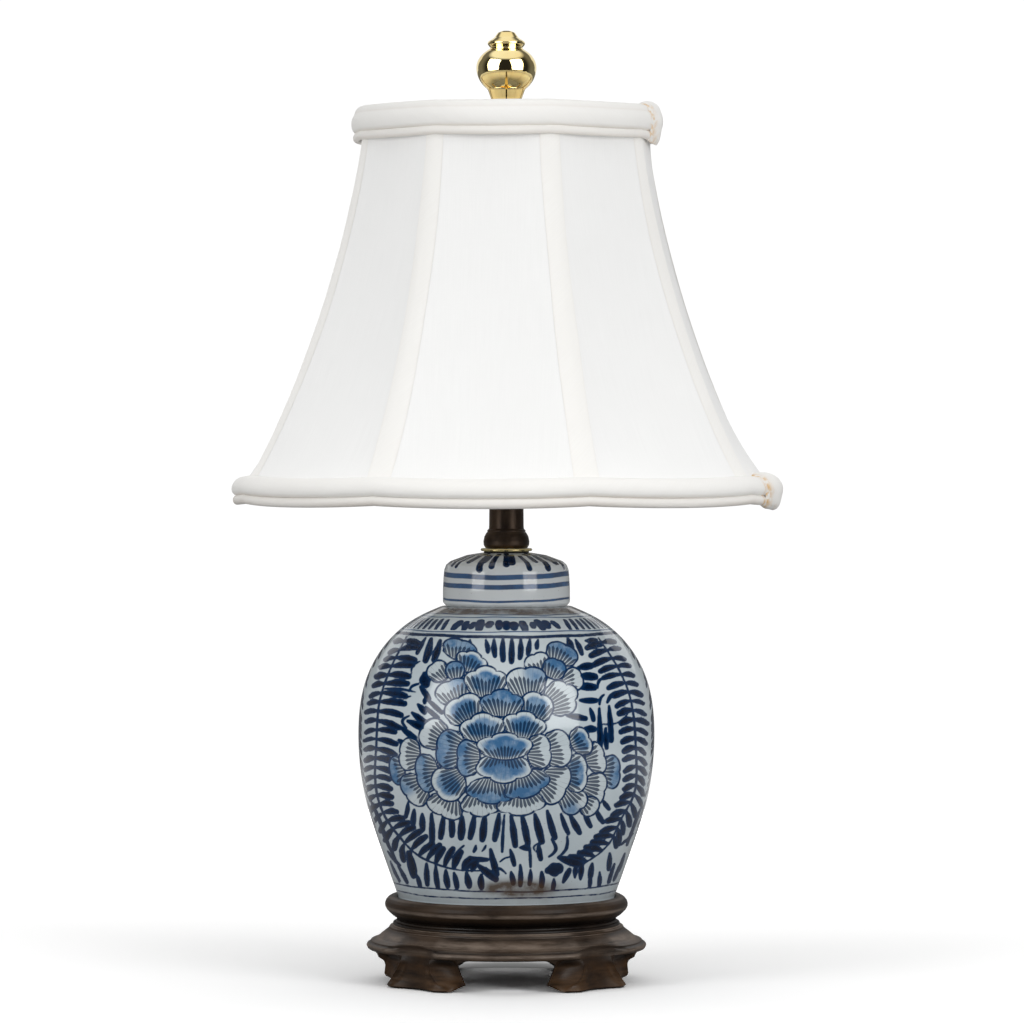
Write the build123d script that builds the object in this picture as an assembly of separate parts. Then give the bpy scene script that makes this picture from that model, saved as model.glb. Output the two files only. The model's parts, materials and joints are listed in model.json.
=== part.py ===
from build123d import *
import os
from math import cos, degrees, hypot, radians, sin, sqrt

# Porcelain jar lamp. Millimetres, +Z up, origin on the table under the lamp's axis.
# The front of the lamp faces -Y. The harp stands in the XZ plane.

# Fits
slip = 0.1            # one piece slipped over another that stays put
running = 0.08        # turning or sliding fits, on the radius
lay = 0.3             # one curved piece lying against another
bite = 1.0            # how far cutters and joined pieces reach past a face

# Carved stand
foot_r = 74.5
lip_r = 78.2
lip_z = 20.6
frame_height = 34.0
frame_top_r = 63.0
leg_depth = 20.0
deck_thickness = 10.0
foot_round = 2.0
arch_height = 17.3
arch_width = 48.0
arch_splay = 27.0
arch_round = 5.0
flute_r = 40.0
flute_depth = 5.0

# Turned collar
waist_r = 61.6
bead_r = 67.6
bead_z = 43.2
collar_height = 15.0
collar_seat = 6.5
collar_bore_r = 40.0
seat_play = 0.8
pad_thickness = 0.8
pad_r = 56.0

# Jar: side curve as (share of the height, share of the belly radius), foot to mouth
jar_height = 165.9
jar_belly_r = 82.1
jar_foot_r = 59.4
jar_wall = 4.5
jar_floor = 8.0
jar_side = [(0.034, 0.733), (0.159, 0.823), (0.32, 0.932), (0.58, 1.0),
            (0.761, 0.945), (0.881, 0.804), (0.961, 0.611), (1.0, 0.442)]
jar_neck_r = 30.0
jar_neck_height = 15.0

# Lid
lid_r = 35.2
lid_height = 29.8
lid_wall = 4.0
lid_side = 20.0
lid_dome = 7.0
lid_boss_r = 14.0

# Neck and its rings
washer_r = 12.5
washer_thickness = 0.8
check_r = 14.4
check_thickness = 1.7
neck_height = 31.0
neck_tube_r = 9.6
neck_bulge_r = 12.75
neck_bulge_height = 9.0

# Lamp rod, 1/8 IP pipe, and what clamps it
rod_r = 4.95
rod_bore_r = 3.4
rod_tail = 11.0
rod_hole_play = 0.6
plate_r = 14.0
plate_thickness = 1.6
lock_r = 9.0
lock_thickness = 1.2
nut_across = 14.0
nut_thickness = 5.0
bushing_r = 6.6
bushing_flange = 2.0
bushing_wall = 0.8
bushing_reach = 7.0

# Harp, nominal 8 inch
harp_height = 203.2
harp_wire_r = 1.8
harp_foot_x = 23.0
harp_wide_x = 57.0
harp_top_x = 24.0
harp_leg = 44.0
saddle_thickness = 2.0
saddle_width = 12.0
saddle_tab = 7.0
tongue_height = 6.0
sleeve_wall = 1.2
sleeve_length = 13.0
top_pad = (18.0, 10.0)
stud_shank_r = 2.4
stud_head_r = 4.2
stud_head = 1.4
stud_flange_r = 6.5
stud_flange = 2.0
stud_pin_r = 3.1
stud_pin = 14.0

# Socket, E26
cap_r = 16.9
cap_height = 24.0
cap_wall = 0.8
cap_collar_r = 8.0
cap_collar = 5.0
shell_wall = 0.5
shell_overlap = 6.0
shell_height = 44.0
liner_wall = 0.6
core_lift = 16.5
core_height = 17.5
screw_shell_r = 13.85
screw_shell_wall = 0.4
screw_shell_height = 25.8
contact_r = 3.5
contact_height = 1.4
terminal_r = 3.0
terminal_head = 1.9
terminal_shank_r = 1.4
terminal_shank = 4.0
terminal_lift = 5.0
switch_lift = 12.5
stem_r = 1.5
stem_reach = 25.0
stem_root = 8.0
stem_window_r = 2.4
knob_collar_r = 4.6
knob_start = 19.0
knob_collar = 4.0
knob_blade = (4.5, 16.0, 13.0)

# Bulb, A19 on an E26 cap
bulb_cap_r = 13.05
bulb_cap_height = 21.0
bulb_tip = 1.6
bulb_insulator = 3.1
bulb_r = 30.0
bulb_height = 84.0
bulb_glass_wall = 1.0

# Shade: eight-panel bell
panels = 8
first_rib = 17.0       # degrees from the front, towards +X
shade_top_r = 79.5
shade_bottom_r = 149.0
shade_height = 209.0
shade_sag = 9.8
mid_flatness = 0.85    # 1 gives straight panels halfway up, 0 round ones
cloth = 0.6
lining_cloth = 0.4
rib_wire_r = 1.2
bottom_wire_r = 1.4
tape_cloth = 0.5
tape_top = 11.0
tape_bottom = 14.5
hub_r = 11.0
hub_thickness = 2.0
arm_width = 4.0
arms = 3
roll_top_height = 11.5
roll_top_bulge = 5.6
roll_bottom_height = 8.3
roll_bottom_bulge = 4.3
roll_turn = 5.6
roll_crown = 3.0
pipe_r = 2.2
pipe_flat = 1.3
wrap_angle = 72.0
wrap_span = 5.0
wrap_cloth = 1.0

# Finial
finial_ball_r = 16.9
finial_ball_lift = 25.6
finial_foot_r = 7.6
finial_cup_r = 9.8
finial_cup_lift = 13.2
finial_bead_r = 11.6
finial_bead_lift = 38.2
finial_bead_height = 5.4
finial_tip_r = 7.2
finial_height = 46.2

# Heights of the stack, from the table up
deck_z = frame_height - deck_thickness
seat_z = frame_height + collar_seat
jar_z = seat_z + pad_thickness
ledge_z = jar_z + jar_height
lid_top_z = ledge_z + lid_height
check_z = lid_top_z + washer_thickness
neck_z = check_z + check_thickness
saddle_z = neck_z + neck_height
socket_z = saddle_z + saddle_thickness
shell_z = socket_z + cap_height - shell_overlap
core_z = socket_z + core_lift
core_top_z = core_z + core_height
tip_z = core_top_z + contact_height + lay
bulb_cap_z = tip_z + bulb_tip + bulb_insulator
bulb_z = bulb_cap_z + bulb_cap_height
tab_z = socket_z + saddle_tab
leg_z = tab_z + tongue_height
harp_top_z = socket_z + harp_height
hub_z = harp_top_z + running + stud_flange
finial_z = hub_z + hub_thickness + slip
ring_z = hub_z + hub_thickness / 2
shade_top_z = ring_z + rib_wire_r + lay
shade_bottom_z = shade_top_z - shade_height
hole_r = rod_r + rod_hole_play

os.makedirs("parts", exist_ok=True)


def at(r, z):
    """Point of a turned outline: radius and height."""
    return (r, 0, z)


def turned(*edges, arc=360):
    """Solid turned about Z from a closed outline."""
    return revolve(make_face(edges), Axis.Z, arc)


def turned_line(*points):
    """Solid turned about Z from straight-sided outline points (radius, height)."""
    return turned(Polyline([at(r, z) for r, z in points], close=True))


def ring(outer, inner, low, high):
    """Plain turned ring."""
    return turned_line((inner, low), (outer, low), (outer, high), (inner, high))


def save(name, shape):
    export_step(shape, f"parts/{name}.step")


def save_all(name, solids):
    """Several like solids in one node."""
    save(name, Compound(children=[piece.solid() for piece in solids]))


# Stand frame: turned moulding, fluted corners, splayed arches, hollow underneath.
hollow_r = foot_r - leg_depth
leg_top_z = lip_z - 5.5
cove = (lip_r - 5.0, lip_z + 5.2)
frame = turned(
    Polyline(at(hollow_r, 0), at(foot_r - foot_round, 0)),
    ThreePointArc(at(foot_r - foot_round, 0), at(foot_r - foot_round * 0.293, foot_round * 0.293),
                  at(foot_r, foot_round)),
    Polyline(at(foot_r, foot_round), at(foot_r, leg_top_z)),
    ThreePointArc(at(foot_r, leg_top_z), at(lip_r, lip_z), at(*cove)),
    ThreePointArc(at(*cove), at((cove[0] + frame_top_r) / 2 - 1.0, (cove[1] + frame_height) / 2 - 1.2),
                  at(frame_top_r, frame_height - 1.2)),
    Polyline(at(frame_top_r, frame_height - 1.2), at(frame_top_r, frame_height), at(hole_r, frame_height),
             at(hole_r, deck_z), at(hollow_r, deck_z), at(hollow_r, 0)),
)
flute_axis = foot_r - flute_depth + flute_r
flute = Pos(flute_axis, 0, -bite) * Cylinder(flute_r, lip_z + 8, align=(Align.CENTER, Align.CENTER, Align.MIN))


def arch_outline(extra):
    """Arch opening: wider under its rounded head than at the feet."""
    half = arch_width / 2 + extra
    foot = half - 3.0
    base = make_face(Polyline((-foot, -bite), (foot, -bite), (half, arch_height), (-half, arch_height), close=True))
    return fillet(base.vertices().group_by(Axis.Y)[-1], arch_round)


arch_near = Plane((hollow_r - 2 * bite, 0, 0), x_dir=(0, 1, 0), z_dir=(1, 0, 0))
arch_far = Plane((lip_r + bite, 0, 0), x_dir=(0, 1, 0), z_dir=(1, 0, 0))
arch = loft([arch_near * arch_outline(0), arch_far * arch_outline(arch_splay)])
for quarter in range(4):
    frame -= Rot(0, 0, 90 * quarter) * arch
for quarter in range(4):
    frame -= Rot(0, 0, 45 + 90 * quarter) * flute
save("stand_frame", frame)

# Collar: waist, step and bead, with a rebate that the jar's foot stands in.
collar_top_z = frame_height + collar_height
rebate_r = jar_foot_r + seat_play + 0.8
step_z = frame_height + 3.6
collar = turned(
    Polyline(at(collar_bore_r, frame_height), at(waist_r, frame_height), at(waist_r, step_z - 1.2),
             at(waist_r + 2.6, step_z - 1.2), at(waist_r + 2.6, step_z)),
    ThreePointArc(at(waist_r + 2.6, step_z), at(bead_r, bead_z), at(rebate_r + 1.6, collar_top_z)),
    Polyline(at(rebate_r + 1.6, collar_top_z), at(rebate_r, collar_top_z), at(rebate_r, seat_z),
             at(collar_bore_r, seat_z), at(collar_bore_r, frame_height)),
)
save("stand_collar", collar)
save("jar_pad", ring(pad_r, collar_bore_r + 4, seat_z, jar_z))

# Jar: the inner side follows the outer one a wall's thickness in.
side = [(jar_belly_r * share_r, jar_z + jar_height * share_z) for share_z, share_r in jar_side]
inner = []
for before, here, after in zip(side[:-2], side[1:-1], side[2:]):
    step_r, step_up = after[0] - before[0], after[1] - before[1]
    length = hypot(step_r, step_up)
    inner.append((here[0] - jar_wall * step_up / length, here[1] + jar_wall * step_r / length))
floor_z = jar_z + jar_floor
inner_foot = (side[0][0] - jar_wall, floor_z)
neck_in = jar_neck_r - jar_wall
jar = turned(
    Polyline(at(hole_r, jar_z), at(jar_foot_r, jar_z), at(*side[0])),
    Spline([at(*point) for point in side]),
    Polyline(at(*side[-1]), at(jar_neck_r, ledge_z), at(jar_neck_r, ledge_z + jar_neck_height),
             at(neck_in, ledge_z + jar_neck_height), at(neck_in, ledge_z - jar_wall)),
    Spline([at(*point) for point in [inner_foot] + inner + [(neck_in, ledge_z - jar_wall)]]),
    Polyline(at(*inner_foot), at(hole_r, floor_z), at(hole_r, jar_z)),
)
save("jar", jar)

# Lid: cylinder wall, rounded shoulder and a low dome with a hole for the rod.
lid_in = lid_r - lid_wall
lid_side_z = ledge_z + lid_side
shoulder = (lid_r - 2.8, lid_top_z - lid_dome + 1.6)
lid = turned(
    Polyline(at(lid_in, ledge_z), at(lid_r - 0.8, ledge_z), at(lid_r, ledge_z + 0.8), at(lid_r, lid_side_z)),
    ThreePointArc(at(lid_r, lid_side_z), at(lid_r - 0.7, (lid_side_z + shoulder[1]) / 2 + 0.6), at(*shoulder)),
    ThreePointArc(at(*shoulder), at((shoulder[0] + lid_boss_r) / 2, (shoulder[1] + lid_top_z) / 2 + 0.5),
                  at(lid_boss_r, lid_top_z)),
    Polyline(at(lid_boss_r, lid_top_z), at(hole_r, lid_top_z), at(hole_r, lid_top_z - lid_wall),
             at(lid_in - 3, lid_side_z - 1.0), at(lid_in, lid_side_z - 3), at(lid_in, ledge_z)),
)
save("jar_lid", lid)
save("lid_washer", ring(washer_r, hole_r, lid_top_z, check_z))
check = ring(check_r, hole_r, check_z, neck_z)
check = fillet(check.edges().filter_by(GeomType.CIRCLE).group_by(SortBy.RADIUS)[-1], 0.6)
save("check_ring", check)

# Neck: bulged foot running up into a slightly tapered tube.
neck_in_r = rod_r + 4 * slip
bulge_top_z = neck_z + neck_bulge_height
neck = turned(
    Polyline(at(neck_in_r, neck_z), at(neck_bulge_r - 0.9, neck_z)),
    ThreePointArc(at(neck_bulge_r - 0.9, neck_z), at(neck_bulge_r, neck_z + 3.6), at(neck_tube_r + 1.0, bulge_top_z)),
    Polyline(at(neck_tube_r + 1.0, bulge_top_z), at(neck_tube_r + 1.0, bulge_top_z + 1.0),
             at(neck_tube_r, bulge_top_z + 1.2), at(neck_tube_r - 0.2, saddle_z), at(neck_in_r, saddle_z),
             at(neck_in_r, neck_z)),
)
save("neck", neck)

# Rod and its clamp under the deck.
plate_z = deck_z - plate_thickness
lock_z = plate_z - lock_thickness
nut_z = lock_z - nut_thickness
rod_end_z = deck_z - rod_tail
save("lamp_rod", ring(rod_r, rod_bore_r, rod_end_z, socket_z + cap_collar))
save("plate_washer", ring(plate_r, rod_r + slip, plate_z, deck_z))
lock_gap = Pos(lock_r, 0, lock_z) * Box(2 * lock_r, 1.2, 4 * lock_thickness)
save("lock_washer", ring(lock_r, rod_r + slip, lock_z, plate_z) - lock_gap)
nut = Pos(0, 0, nut_z) * extrude(RegularPolygon(nut_across / 2, 6, major_radius=False), nut_thickness)
nut -= Pos(0, 0, nut_z) * Cylinder(rod_r + slip, 4 * nut_thickness)
save("rod_nut", nut)
bushing_in = rod_bore_r - bushing_wall
bushing = turned_line(
    (bushing_in, rod_end_z - bushing_flange), (bushing_r, rod_end_z - bushing_flange), (bushing_r, rod_end_z),
    (rod_bore_r - slip, rod_end_z), (rod_bore_r - slip, rod_end_z + bushing_reach),
    (bushing_in, rod_end_z + bushing_reach))
save("cord_bushing", bushing)

# Harp saddle: bent strip with two upright tongues.
tab_out = harp_foot_x + saddle_thickness / 2
tab_in = harp_foot_x - saddle_thickness / 2
saddle_face = make_face(Polyline(
    at(-tab_out, saddle_z), at(tab_out, saddle_z), at(tab_out, tab_z), at(tab_in, tab_z), at(tab_in, socket_z),
    at(-tab_in, socket_z), at(-tab_in, tab_z), at(-tab_out, tab_z), close=True))
saddle = extrude(saddle_face, saddle_width / 2, both=True)
saddle -= Pos(0, 0, saddle_z) * Cylinder(rod_r + slip, 4 * saddle_thickness)
for hand in (-1, 1):
    saddle += Pos(hand * harp_foot_x, 0, tab_z - bite) * Cylinder(
        harp_wire_r - 0.3, tongue_height + bite, align=(Align.CENTER, Align.CENTER, Align.MIN))
save("harp_saddle", saddle)

# Harp bow: straight legs, then out, up and in to a flat pad pierced for the stud.
bow_z = harp_top_z - harp_wire_r
half_bow = [(harp_foot_x, leg_z), (harp_foot_x, leg_z + harp_leg), (harp_wide_x, leg_z + harp_leg + 42),
            (harp_wide_x, leg_z + harp_leg + 95), (harp_top_x, bow_z)]
bow_points = [at(-x, z) for x, z in half_bow] + [at(x, z) for x, z in reversed(half_bow)]
bow_path = FilletPolyline(bow_points, radius=[60, 60, 90, 34, 34, 90, 60, 60])
bow_face = Plane(at(-harp_foot_x, leg_z), x_dir=(1, 0, 0), z_dir=(0, 0, 1)) * Circle(harp_wire_r)
harp = sweep(bow_face, path=bow_path)
harp += Pos(0, 0, bow_z) * Box(top_pad[0], top_pad[1], 2 * harp_wire_r)
harp -= Pos(0, 0, bow_z) * Cylinder(stud_shank_r + running, 8 * harp_wire_r)
save("harp", harp)
for name, hand in (("harp_sleeve_left", -1), ("harp_sleeve_right", 1)):
    sleeve = ring(harp_wire_r + running + sleeve_wall, harp_wire_r + running, tab_z, tab_z + sleeve_length)
    save(name, Pos(hand * harp_foot_x, 0, 0) * sleeve)

# Swivel stud: head, shank, flange that the shade's hub rests on, and pin for the finial.
head_z = harp_top_z - 2 * harp_wire_r - running
save("harp_stud", turned_line(
    (0, head_z - stud_head), (stud_head_r, head_z - stud_head), (stud_head_r, head_z), (stud_shank_r, head_z),
    (stud_shank_r, hub_z - stud_flange), (stud_flange_r, hub_z - stud_flange), (stud_flange_r, hub_z),
    (stud_pin_r, hub_z), (stud_pin_r, hub_z + stud_pin), (0, hub_z + stud_pin)))

# Socket: cap, shell and liner around the core, knob facing the front.
bowl_z = socket_z + cap_collar
save("socket_cap", turned_line(
    (rod_r + slip, socket_z), (cap_collar_r, socket_z), (cap_collar_r, bowl_z), (cap_r - 4, bowl_z + 4.5),
    (cap_r, bowl_z + 9.5), (cap_r, socket_z + cap_height), (cap_r - cap_wall, socket_z + cap_height),
    (cap_r - cap_wall, bowl_z + 9.8), (cap_r - 4 - cap_wall, bowl_z + 5.3), (cap_collar_r - 1, bowl_z + cap_wall),
    (rod_r + slip, bowl_z + cap_wall)))
shell_r = cap_r - cap_wall - slip
liner_r = shell_r - shell_wall - slip
core_r = liner_r - liner_wall - slip
shell_top_z = shell_z + shell_height
switch_z = core_z + switch_lift
window = Pos(0, -shell_r, switch_z) * Rot(90, 0, 0) * Cylinder(stem_window_r, shell_r)
shell = turned_line(
    (shell_r - shell_wall, shell_z), (shell_r, shell_z), (shell_r, shell_top_z), (screw_shell_r + lay, shell_top_z),
    (screw_shell_r + lay, shell_top_z - shell_wall), (shell_r - shell_wall, shell_top_z - shell_wall))
save("socket_shell", shell - window)
liner = ring(liner_r, liner_r - liner_wall, shell_z + bite, shell_top_z - shell_wall - slip)
save("socket_liner", liner - window)

terminal_z = core_z + terminal_lift
core = Pos(0, 0, core_z) * Cylinder(core_r, core_height, align=(Align.CENTER, Align.CENTER, Align.MIN))
stem_hole = Pos(0, -stem_root + lay, switch_z) * Rot(90, 0, 0) * Cylinder(
    stem_r + running, core_r, align=(Align.CENTER, Align.CENTER, Align.MIN))
core -= stem_hole
terminal_in = core_r - terminal_head - 2 * lay
screws = []
for hand in (-1, 1):
    pocket = Pos(hand * terminal_in, 0, terminal_z) * Rot(0, 90 * hand, 0)
    low = (Align.CENTER, Align.CENTER, Align.MIN)
    high = (Align.CENTER, Align.CENTER, Align.MAX)
    core -= pocket * Cylinder(terminal_r + lay, core_r, align=low)
    core -= pocket * Cylinder(terminal_shank_r + slip, terminal_shank + slip, align=high)
    screw = Cylinder(terminal_r, terminal_head, align=low) - Pos(0, 0, terminal_head) * Box(8, 0.8, 1.2)
    screws.append(pocket * (screw + Cylinder(terminal_shank_r, terminal_shank, align=high)))
save("socket_core", core)
save_all("terminal_screws", screws)
save("socket_screw_shell", ring(screw_shell_r, screw_shell_r - screw_shell_wall, core_top_z,
                                core_top_z + screw_shell_height))
save("socket_contact", ring(contact_r, 0.6, core_top_z, core_top_z + contact_height))

front = Rot(90, 0, 0)
stem = Pos(0, -stem_root, switch_z) * front * Cylinder(
    stem_r, stem_reach - stem_root, align=(Align.CENTER, Align.CENTER, Align.MIN))
save("switch_stem", stem)
collar_end = knob_start + knob_collar
knob = Pos(0, -knob_start, switch_z) * front * Cylinder(
    knob_collar_r, knob_collar, align=(Align.CENTER, Align.CENTER, Align.MIN))
blade = Box(*knob_blade)
blade = fillet(blade.edges(), 1.8)
knob += Pos(0, -collar_end - knob_blade[2] / 2 + bite, switch_z) * Rot(90, 0, 0) * blade
knob -= Pos(0, -knob_start + bite, switch_z) * front * Cylinder(
    stem_r + slip, stem_reach - knob_start + bite + slip, align=(Align.CENTER, Align.CENTER, Align.MIN))
save("switch_knob", knob)

# Bulb.
insulator_z = tip_z + bulb_tip
save("bulb_contact", turned_line((0, tip_z), (2.6, tip_z), (3.6, tip_z + 0.8), (3.6, insulator_z), (0, insulator_z)))
save("bulb_insulator", turned_line((0, insulator_z), (5.0, insulator_z), (9.0, bulb_cap_z), (0, bulb_cap_z)))
cap_in = bulb_cap_r - 0.5
save("bulb_cap", turned_line(
    (0, bulb_cap_z), (9.6, bulb_cap_z), (bulb_cap_r, bulb_cap_z + 3), (bulb_cap_r, bulb_z), (cap_in, bulb_z),
    (cap_in, bulb_cap_z + 3.3), (9.2, bulb_cap_z + 0.5), (0, bulb_cap_z + 0.5)))


def bulb_edges(inset):
    """Side and crown of the glass, a given depth inside its outer face."""
    waist = bulb_cap_r - 0.2 - inset
    round_z = bulb_z + bulb_height - bulb_r
    wide = bulb_r - inset
    flank = Spline(at(waist, bulb_z + inset), at(waist + 1.0, bulb_z + 6), at((waist + wide) / 2 + 0.5, bulb_z + 29),
                   at(wide, round_z), tangents=[(0, 0, 1), (0, 0, 1)])
    crown = ThreePointArc(at(wide, round_z), at(wide * cos(radians(45)), round_z + wide * sin(radians(45))),
                          at(0, round_z + wide))
    base = Polyline(at(0, round_z + wide), at(0, bulb_z + inset), at(waist, bulb_z + inset))
    return flank, crown, base


save("bulb_glass", turned(*bulb_edges(0)) - turned(*bulb_edges(bulb_glass_wall)))

# Shade. The ribs lie on a circle arc that bows inwards from a straight bell side.
bell = (shade_top_r - shade_bottom_r, shade_height)
bell_length = hypot(*bell)
bell_radius = (bell_length ** 2 / 4 + shade_sag ** 2) / (2 * shade_sag)
middle_r = (shade_top_r + shade_bottom_r) / 2
middle_z = (shade_top_z + shade_bottom_z) / 2
bell_centre_r = middle_r + bell[1] / bell_length * (bell_radius - shade_sag)
bell_centre_z = middle_z - bell[0] / bell_length * (bell_radius - shade_sag)
half_panel = 180 / panels
levels = 5


def rib_radius(z):
    """Radius of the cloth over a rib at a height."""
    return bell_centre_r - sqrt(bell_radius ** 2 - (z - bell_centre_z) ** 2)


def middle_radius(r, z):
    """Radius of a panel's middle: round at the rings, nearly straight halfway up."""
    share = (z - shade_bottom_z) / shade_height
    round_share = 1 - mid_flatness * (1 - (2 * share - 1) ** 4)
    flat = cos(radians(half_panel))
    return r * (flat + round_share * (1 - flat))


def polar(r, angle, z):
    """Point at an angle in degrees from the front, towards +X."""
    return (r * sin(radians(angle)), -r * cos(radians(angle)), z)


def panel_section(z, inset, thickness, start):
    """Closed cross-section of one cloth panel at a height."""
    outer = rib_radius(z) - inset
    inside = outer - thickness
    seam = degrees(slip / outer)
    low, mid, high = start + seam, start + half_panel, start + 2 * half_panel - seam
    near = ThreePointArc(polar(outer, low, z), polar(middle_radius(outer, z), mid, z), polar(outer, high, z))
    far = ThreePointArc(polar(inside, low, z), polar(middle_radius(inside, z), mid, z), polar(inside, high, z))
    ends = [Line(polar(outer, turn, z), polar(inside, turn, z)) for turn in (low, high)]
    return make_face([near, ends[0], far, ends[1]])


def heights(low, high):
    """Evenly spaced section heights."""
    return [low + (high - low) * step / (levels - 1) for step in range(levels)]


rib_angles = [first_rib + 2 * half_panel * number for number in range(panels)]
for number, angle in enumerate(rib_angles, 1):
    sections = [panel_section(z, 0, cloth, angle) for z in heights(shade_bottom_z, shade_top_z)]
    save(f"shade_panel_{number}", loft(sections))

# Frame wires under the cloth: rings, ribs between them, and the lining inside.
wire_inset = cloth + lay + rib_wire_r
ring_r = middle_radius(rib_radius(ring_z), ring_z) - wire_inset
save("shade_top_ring", Pos(0, 0, ring_z) * Torus(ring_r, rib_wire_r))
low_ring_z = shade_bottom_z + bottom_wire_r + lay
low_ring_r = middle_radius(rib_radius(low_ring_z), low_ring_z) - cloth - 2 * lay - bottom_wire_r
save("shade_bottom_ring", Pos(0, 0, low_ring_z) * Torus(low_ring_r, bottom_wire_r))
rib_low_z = low_ring_z + bottom_wire_r + 2 * lay
rib_high_z = ring_z - rib_wire_r - lay
ribs = []
for angle in rib_angles:
    stops = [polar(rib_radius(z) - wire_inset, angle, z)
             for z in (rib_low_z, (rib_low_z + rib_high_z) / 2, rib_high_z)]
    path = ThreePointArc(*stops)
    ribs.append(sweep(Plane(path @ 0, z_dir=path % 0) * Circle(rib_wire_r), path=path))
save_all("shade_ribs", ribs)
lining_inset = wire_inset + rib_wire_r + lay
lining_top_z = hub_z - lay
lining = []
for angle in rib_angles:
    sections = [panel_section(z, lining_inset, lining_cloth, angle) for z in heights(rib_low_z, lining_top_z)]
    lining.append(loft(sections))
save_all("shade_lining", lining)

arm_end = ring_r - rib_wire_r - slip
spider = ring(hub_r, 0, hub_z, hub_z + hub_thickness)
arm = Pos(hub_r / 2, 0, ring_z) * Box(arm_end - hub_r / 2, arm_width, hub_thickness,
                                      align=(Align.MIN, Align.CENTER, Align.CENTER))
for number in range(arms):
    spider += Rot(0, 0, -90 + 360 / arms * number) * arm
spider -= Pos(0, 0, ring_z) * Cylinder(stud_pin_r + running, 4 * hub_thickness)
save("shade_spider", spider)

# Edge bindings, piping and the seam tapes between them.
roll_top_low_z = shade_top_z - roll_top_height
roll_bottom_high_z = shade_bottom_z + roll_bottom_height


top_turn = (shade_top_r + roll_top_bulge * 0.75, shade_top_z + roll_crown * 0.3)
top_swell = (rib_radius(shade_top_z - 5) + roll_top_bulge, shade_top_z - 5)
top_end = (rib_radius(roll_top_low_z) + 2 * lay, roll_top_low_z)
low_turn = (shade_bottom_r + roll_bottom_bulge * 0.75, shade_bottom_z - roll_crown * 0.3)
low_swell = (rib_radius(shade_bottom_z + 3) + roll_bottom_bulge, shade_bottom_z + 3)
low_end = (rib_radius(roll_bottom_high_z) + 2 * lay, roll_bottom_high_z)


def bent(points, out=0):
    """Arc through three outline points, moved outwards."""
    return ThreePointArc([at(r + out, z) for r, z in points])


top_roll = turned(
    bent([(shade_top_r - roll_turn, shade_top_z + 2 * lay), (shade_top_r - 0.6, shade_top_z + roll_crown), top_turn]),
    bent([top_turn, top_swell, top_end]),
    Polyline(at(*top_end), at(shade_top_r + lay, shade_top_z + lay), at(shade_top_r - roll_turn, shade_top_z + lay),
             at(shade_top_r - roll_turn, shade_top_z + 2 * lay)))
save("top_roll", top_roll)
bottom_roll = turned(
    bent([(shade_bottom_r - roll_turn, shade_bottom_z - 2 * lay), (shade_bottom_r - 1.2, shade_bottom_z - roll_crown),
          low_turn]),
    bent([low_turn, low_swell, low_end]),
    Polyline(at(*low_end), at(shade_bottom_r + 2 * lay, shade_bottom_z - lay),
             at(shade_bottom_r - roll_turn, shade_bottom_z - lay),
             at(shade_bottom_r - roll_turn, shade_bottom_z - 2 * lay)))
save("bottom_roll", bottom_roll)


def piping(centre_r, centre_z):
    """Thin oval piping ring."""
    return revolve(Plane(at(centre_r, centre_z), x_dir=(1, 0, 0), z_dir=(0, -1, 0)) * Ellipse(pipe_flat, pipe_r),
                   Axis.Z)


top_pipe_z = roll_top_low_z - pipe_r - slip
save("top_piping", piping(rib_radius(top_pipe_z - pipe_r) + lay + pipe_flat, top_pipe_z))
low_pipe_z = shade_bottom_z - roll_crown - pipe_r - lay
low_pipe = Pos(0, 0, low_pipe_z) * Torus(shade_bottom_r - 1.0, pipe_r)
save("bottom_piping", low_pipe)


def crescent(points):
    """Short length of cloth wrapped round a binding where its ends meet."""
    near, far = bent(points, lay), bent(points, lay + wrap_cloth)
    ends = [Line(near @ 0, far @ 0), Line(near @ 1, far @ 1)]
    wrap = turned(near, ends[0], far, ends[1], arc=wrap_span)
    return Rot(0, 0, wrap_angle - 90 - wrap_span / 2) * wrap


save("top_wrap", crescent([top_turn, top_swell, top_end]))
save("bottom_wrap", crescent([low_turn, low_swell, low_end]))

tape_low_z = roll_bottom_high_z + lay
tape_high_z = top_pipe_z - pipe_r - lay


def tape_section(z, angle):
    """Strip bent over a rib: two straight wings laid on the panels beside it."""
    share = (z - tape_low_z) / (tape_high_z - tape_low_z)
    half = (tape_bottom + (tape_top - tape_bottom) * share) / 2
    r = rib_radius(z)
    mid_r = middle_radius(r, z)
    # circle through the rib and the panel's middle, seen along the panel's bisector
    flat = r * cos(radians(half_panel))
    centre = (r ** 2 - mid_r ** 2) / (2 * (flat - mid_r))
    swing = degrees(half / r)
    away = radians(half_panel - swing)
    wing = centre * cos(away) + sqrt((mid_r - centre) ** 2 - (centre * sin(away)) ** 2)
    points = []
    for gap, order in ((lay, (-1, 0, 1)), (lay + tape_cloth, (1, 0, -1))):
        points += [polar((wing if hand else r) + gap, angle + hand * swing, z) for hand in order]
    return make_face(Polyline(points, close=True))


for number, angle in enumerate(rib_angles, 1):
    save(f"seam_tape_{number}", loft([tape_section(z, angle) for z in heights(tape_low_z, tape_high_z)]))

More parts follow.
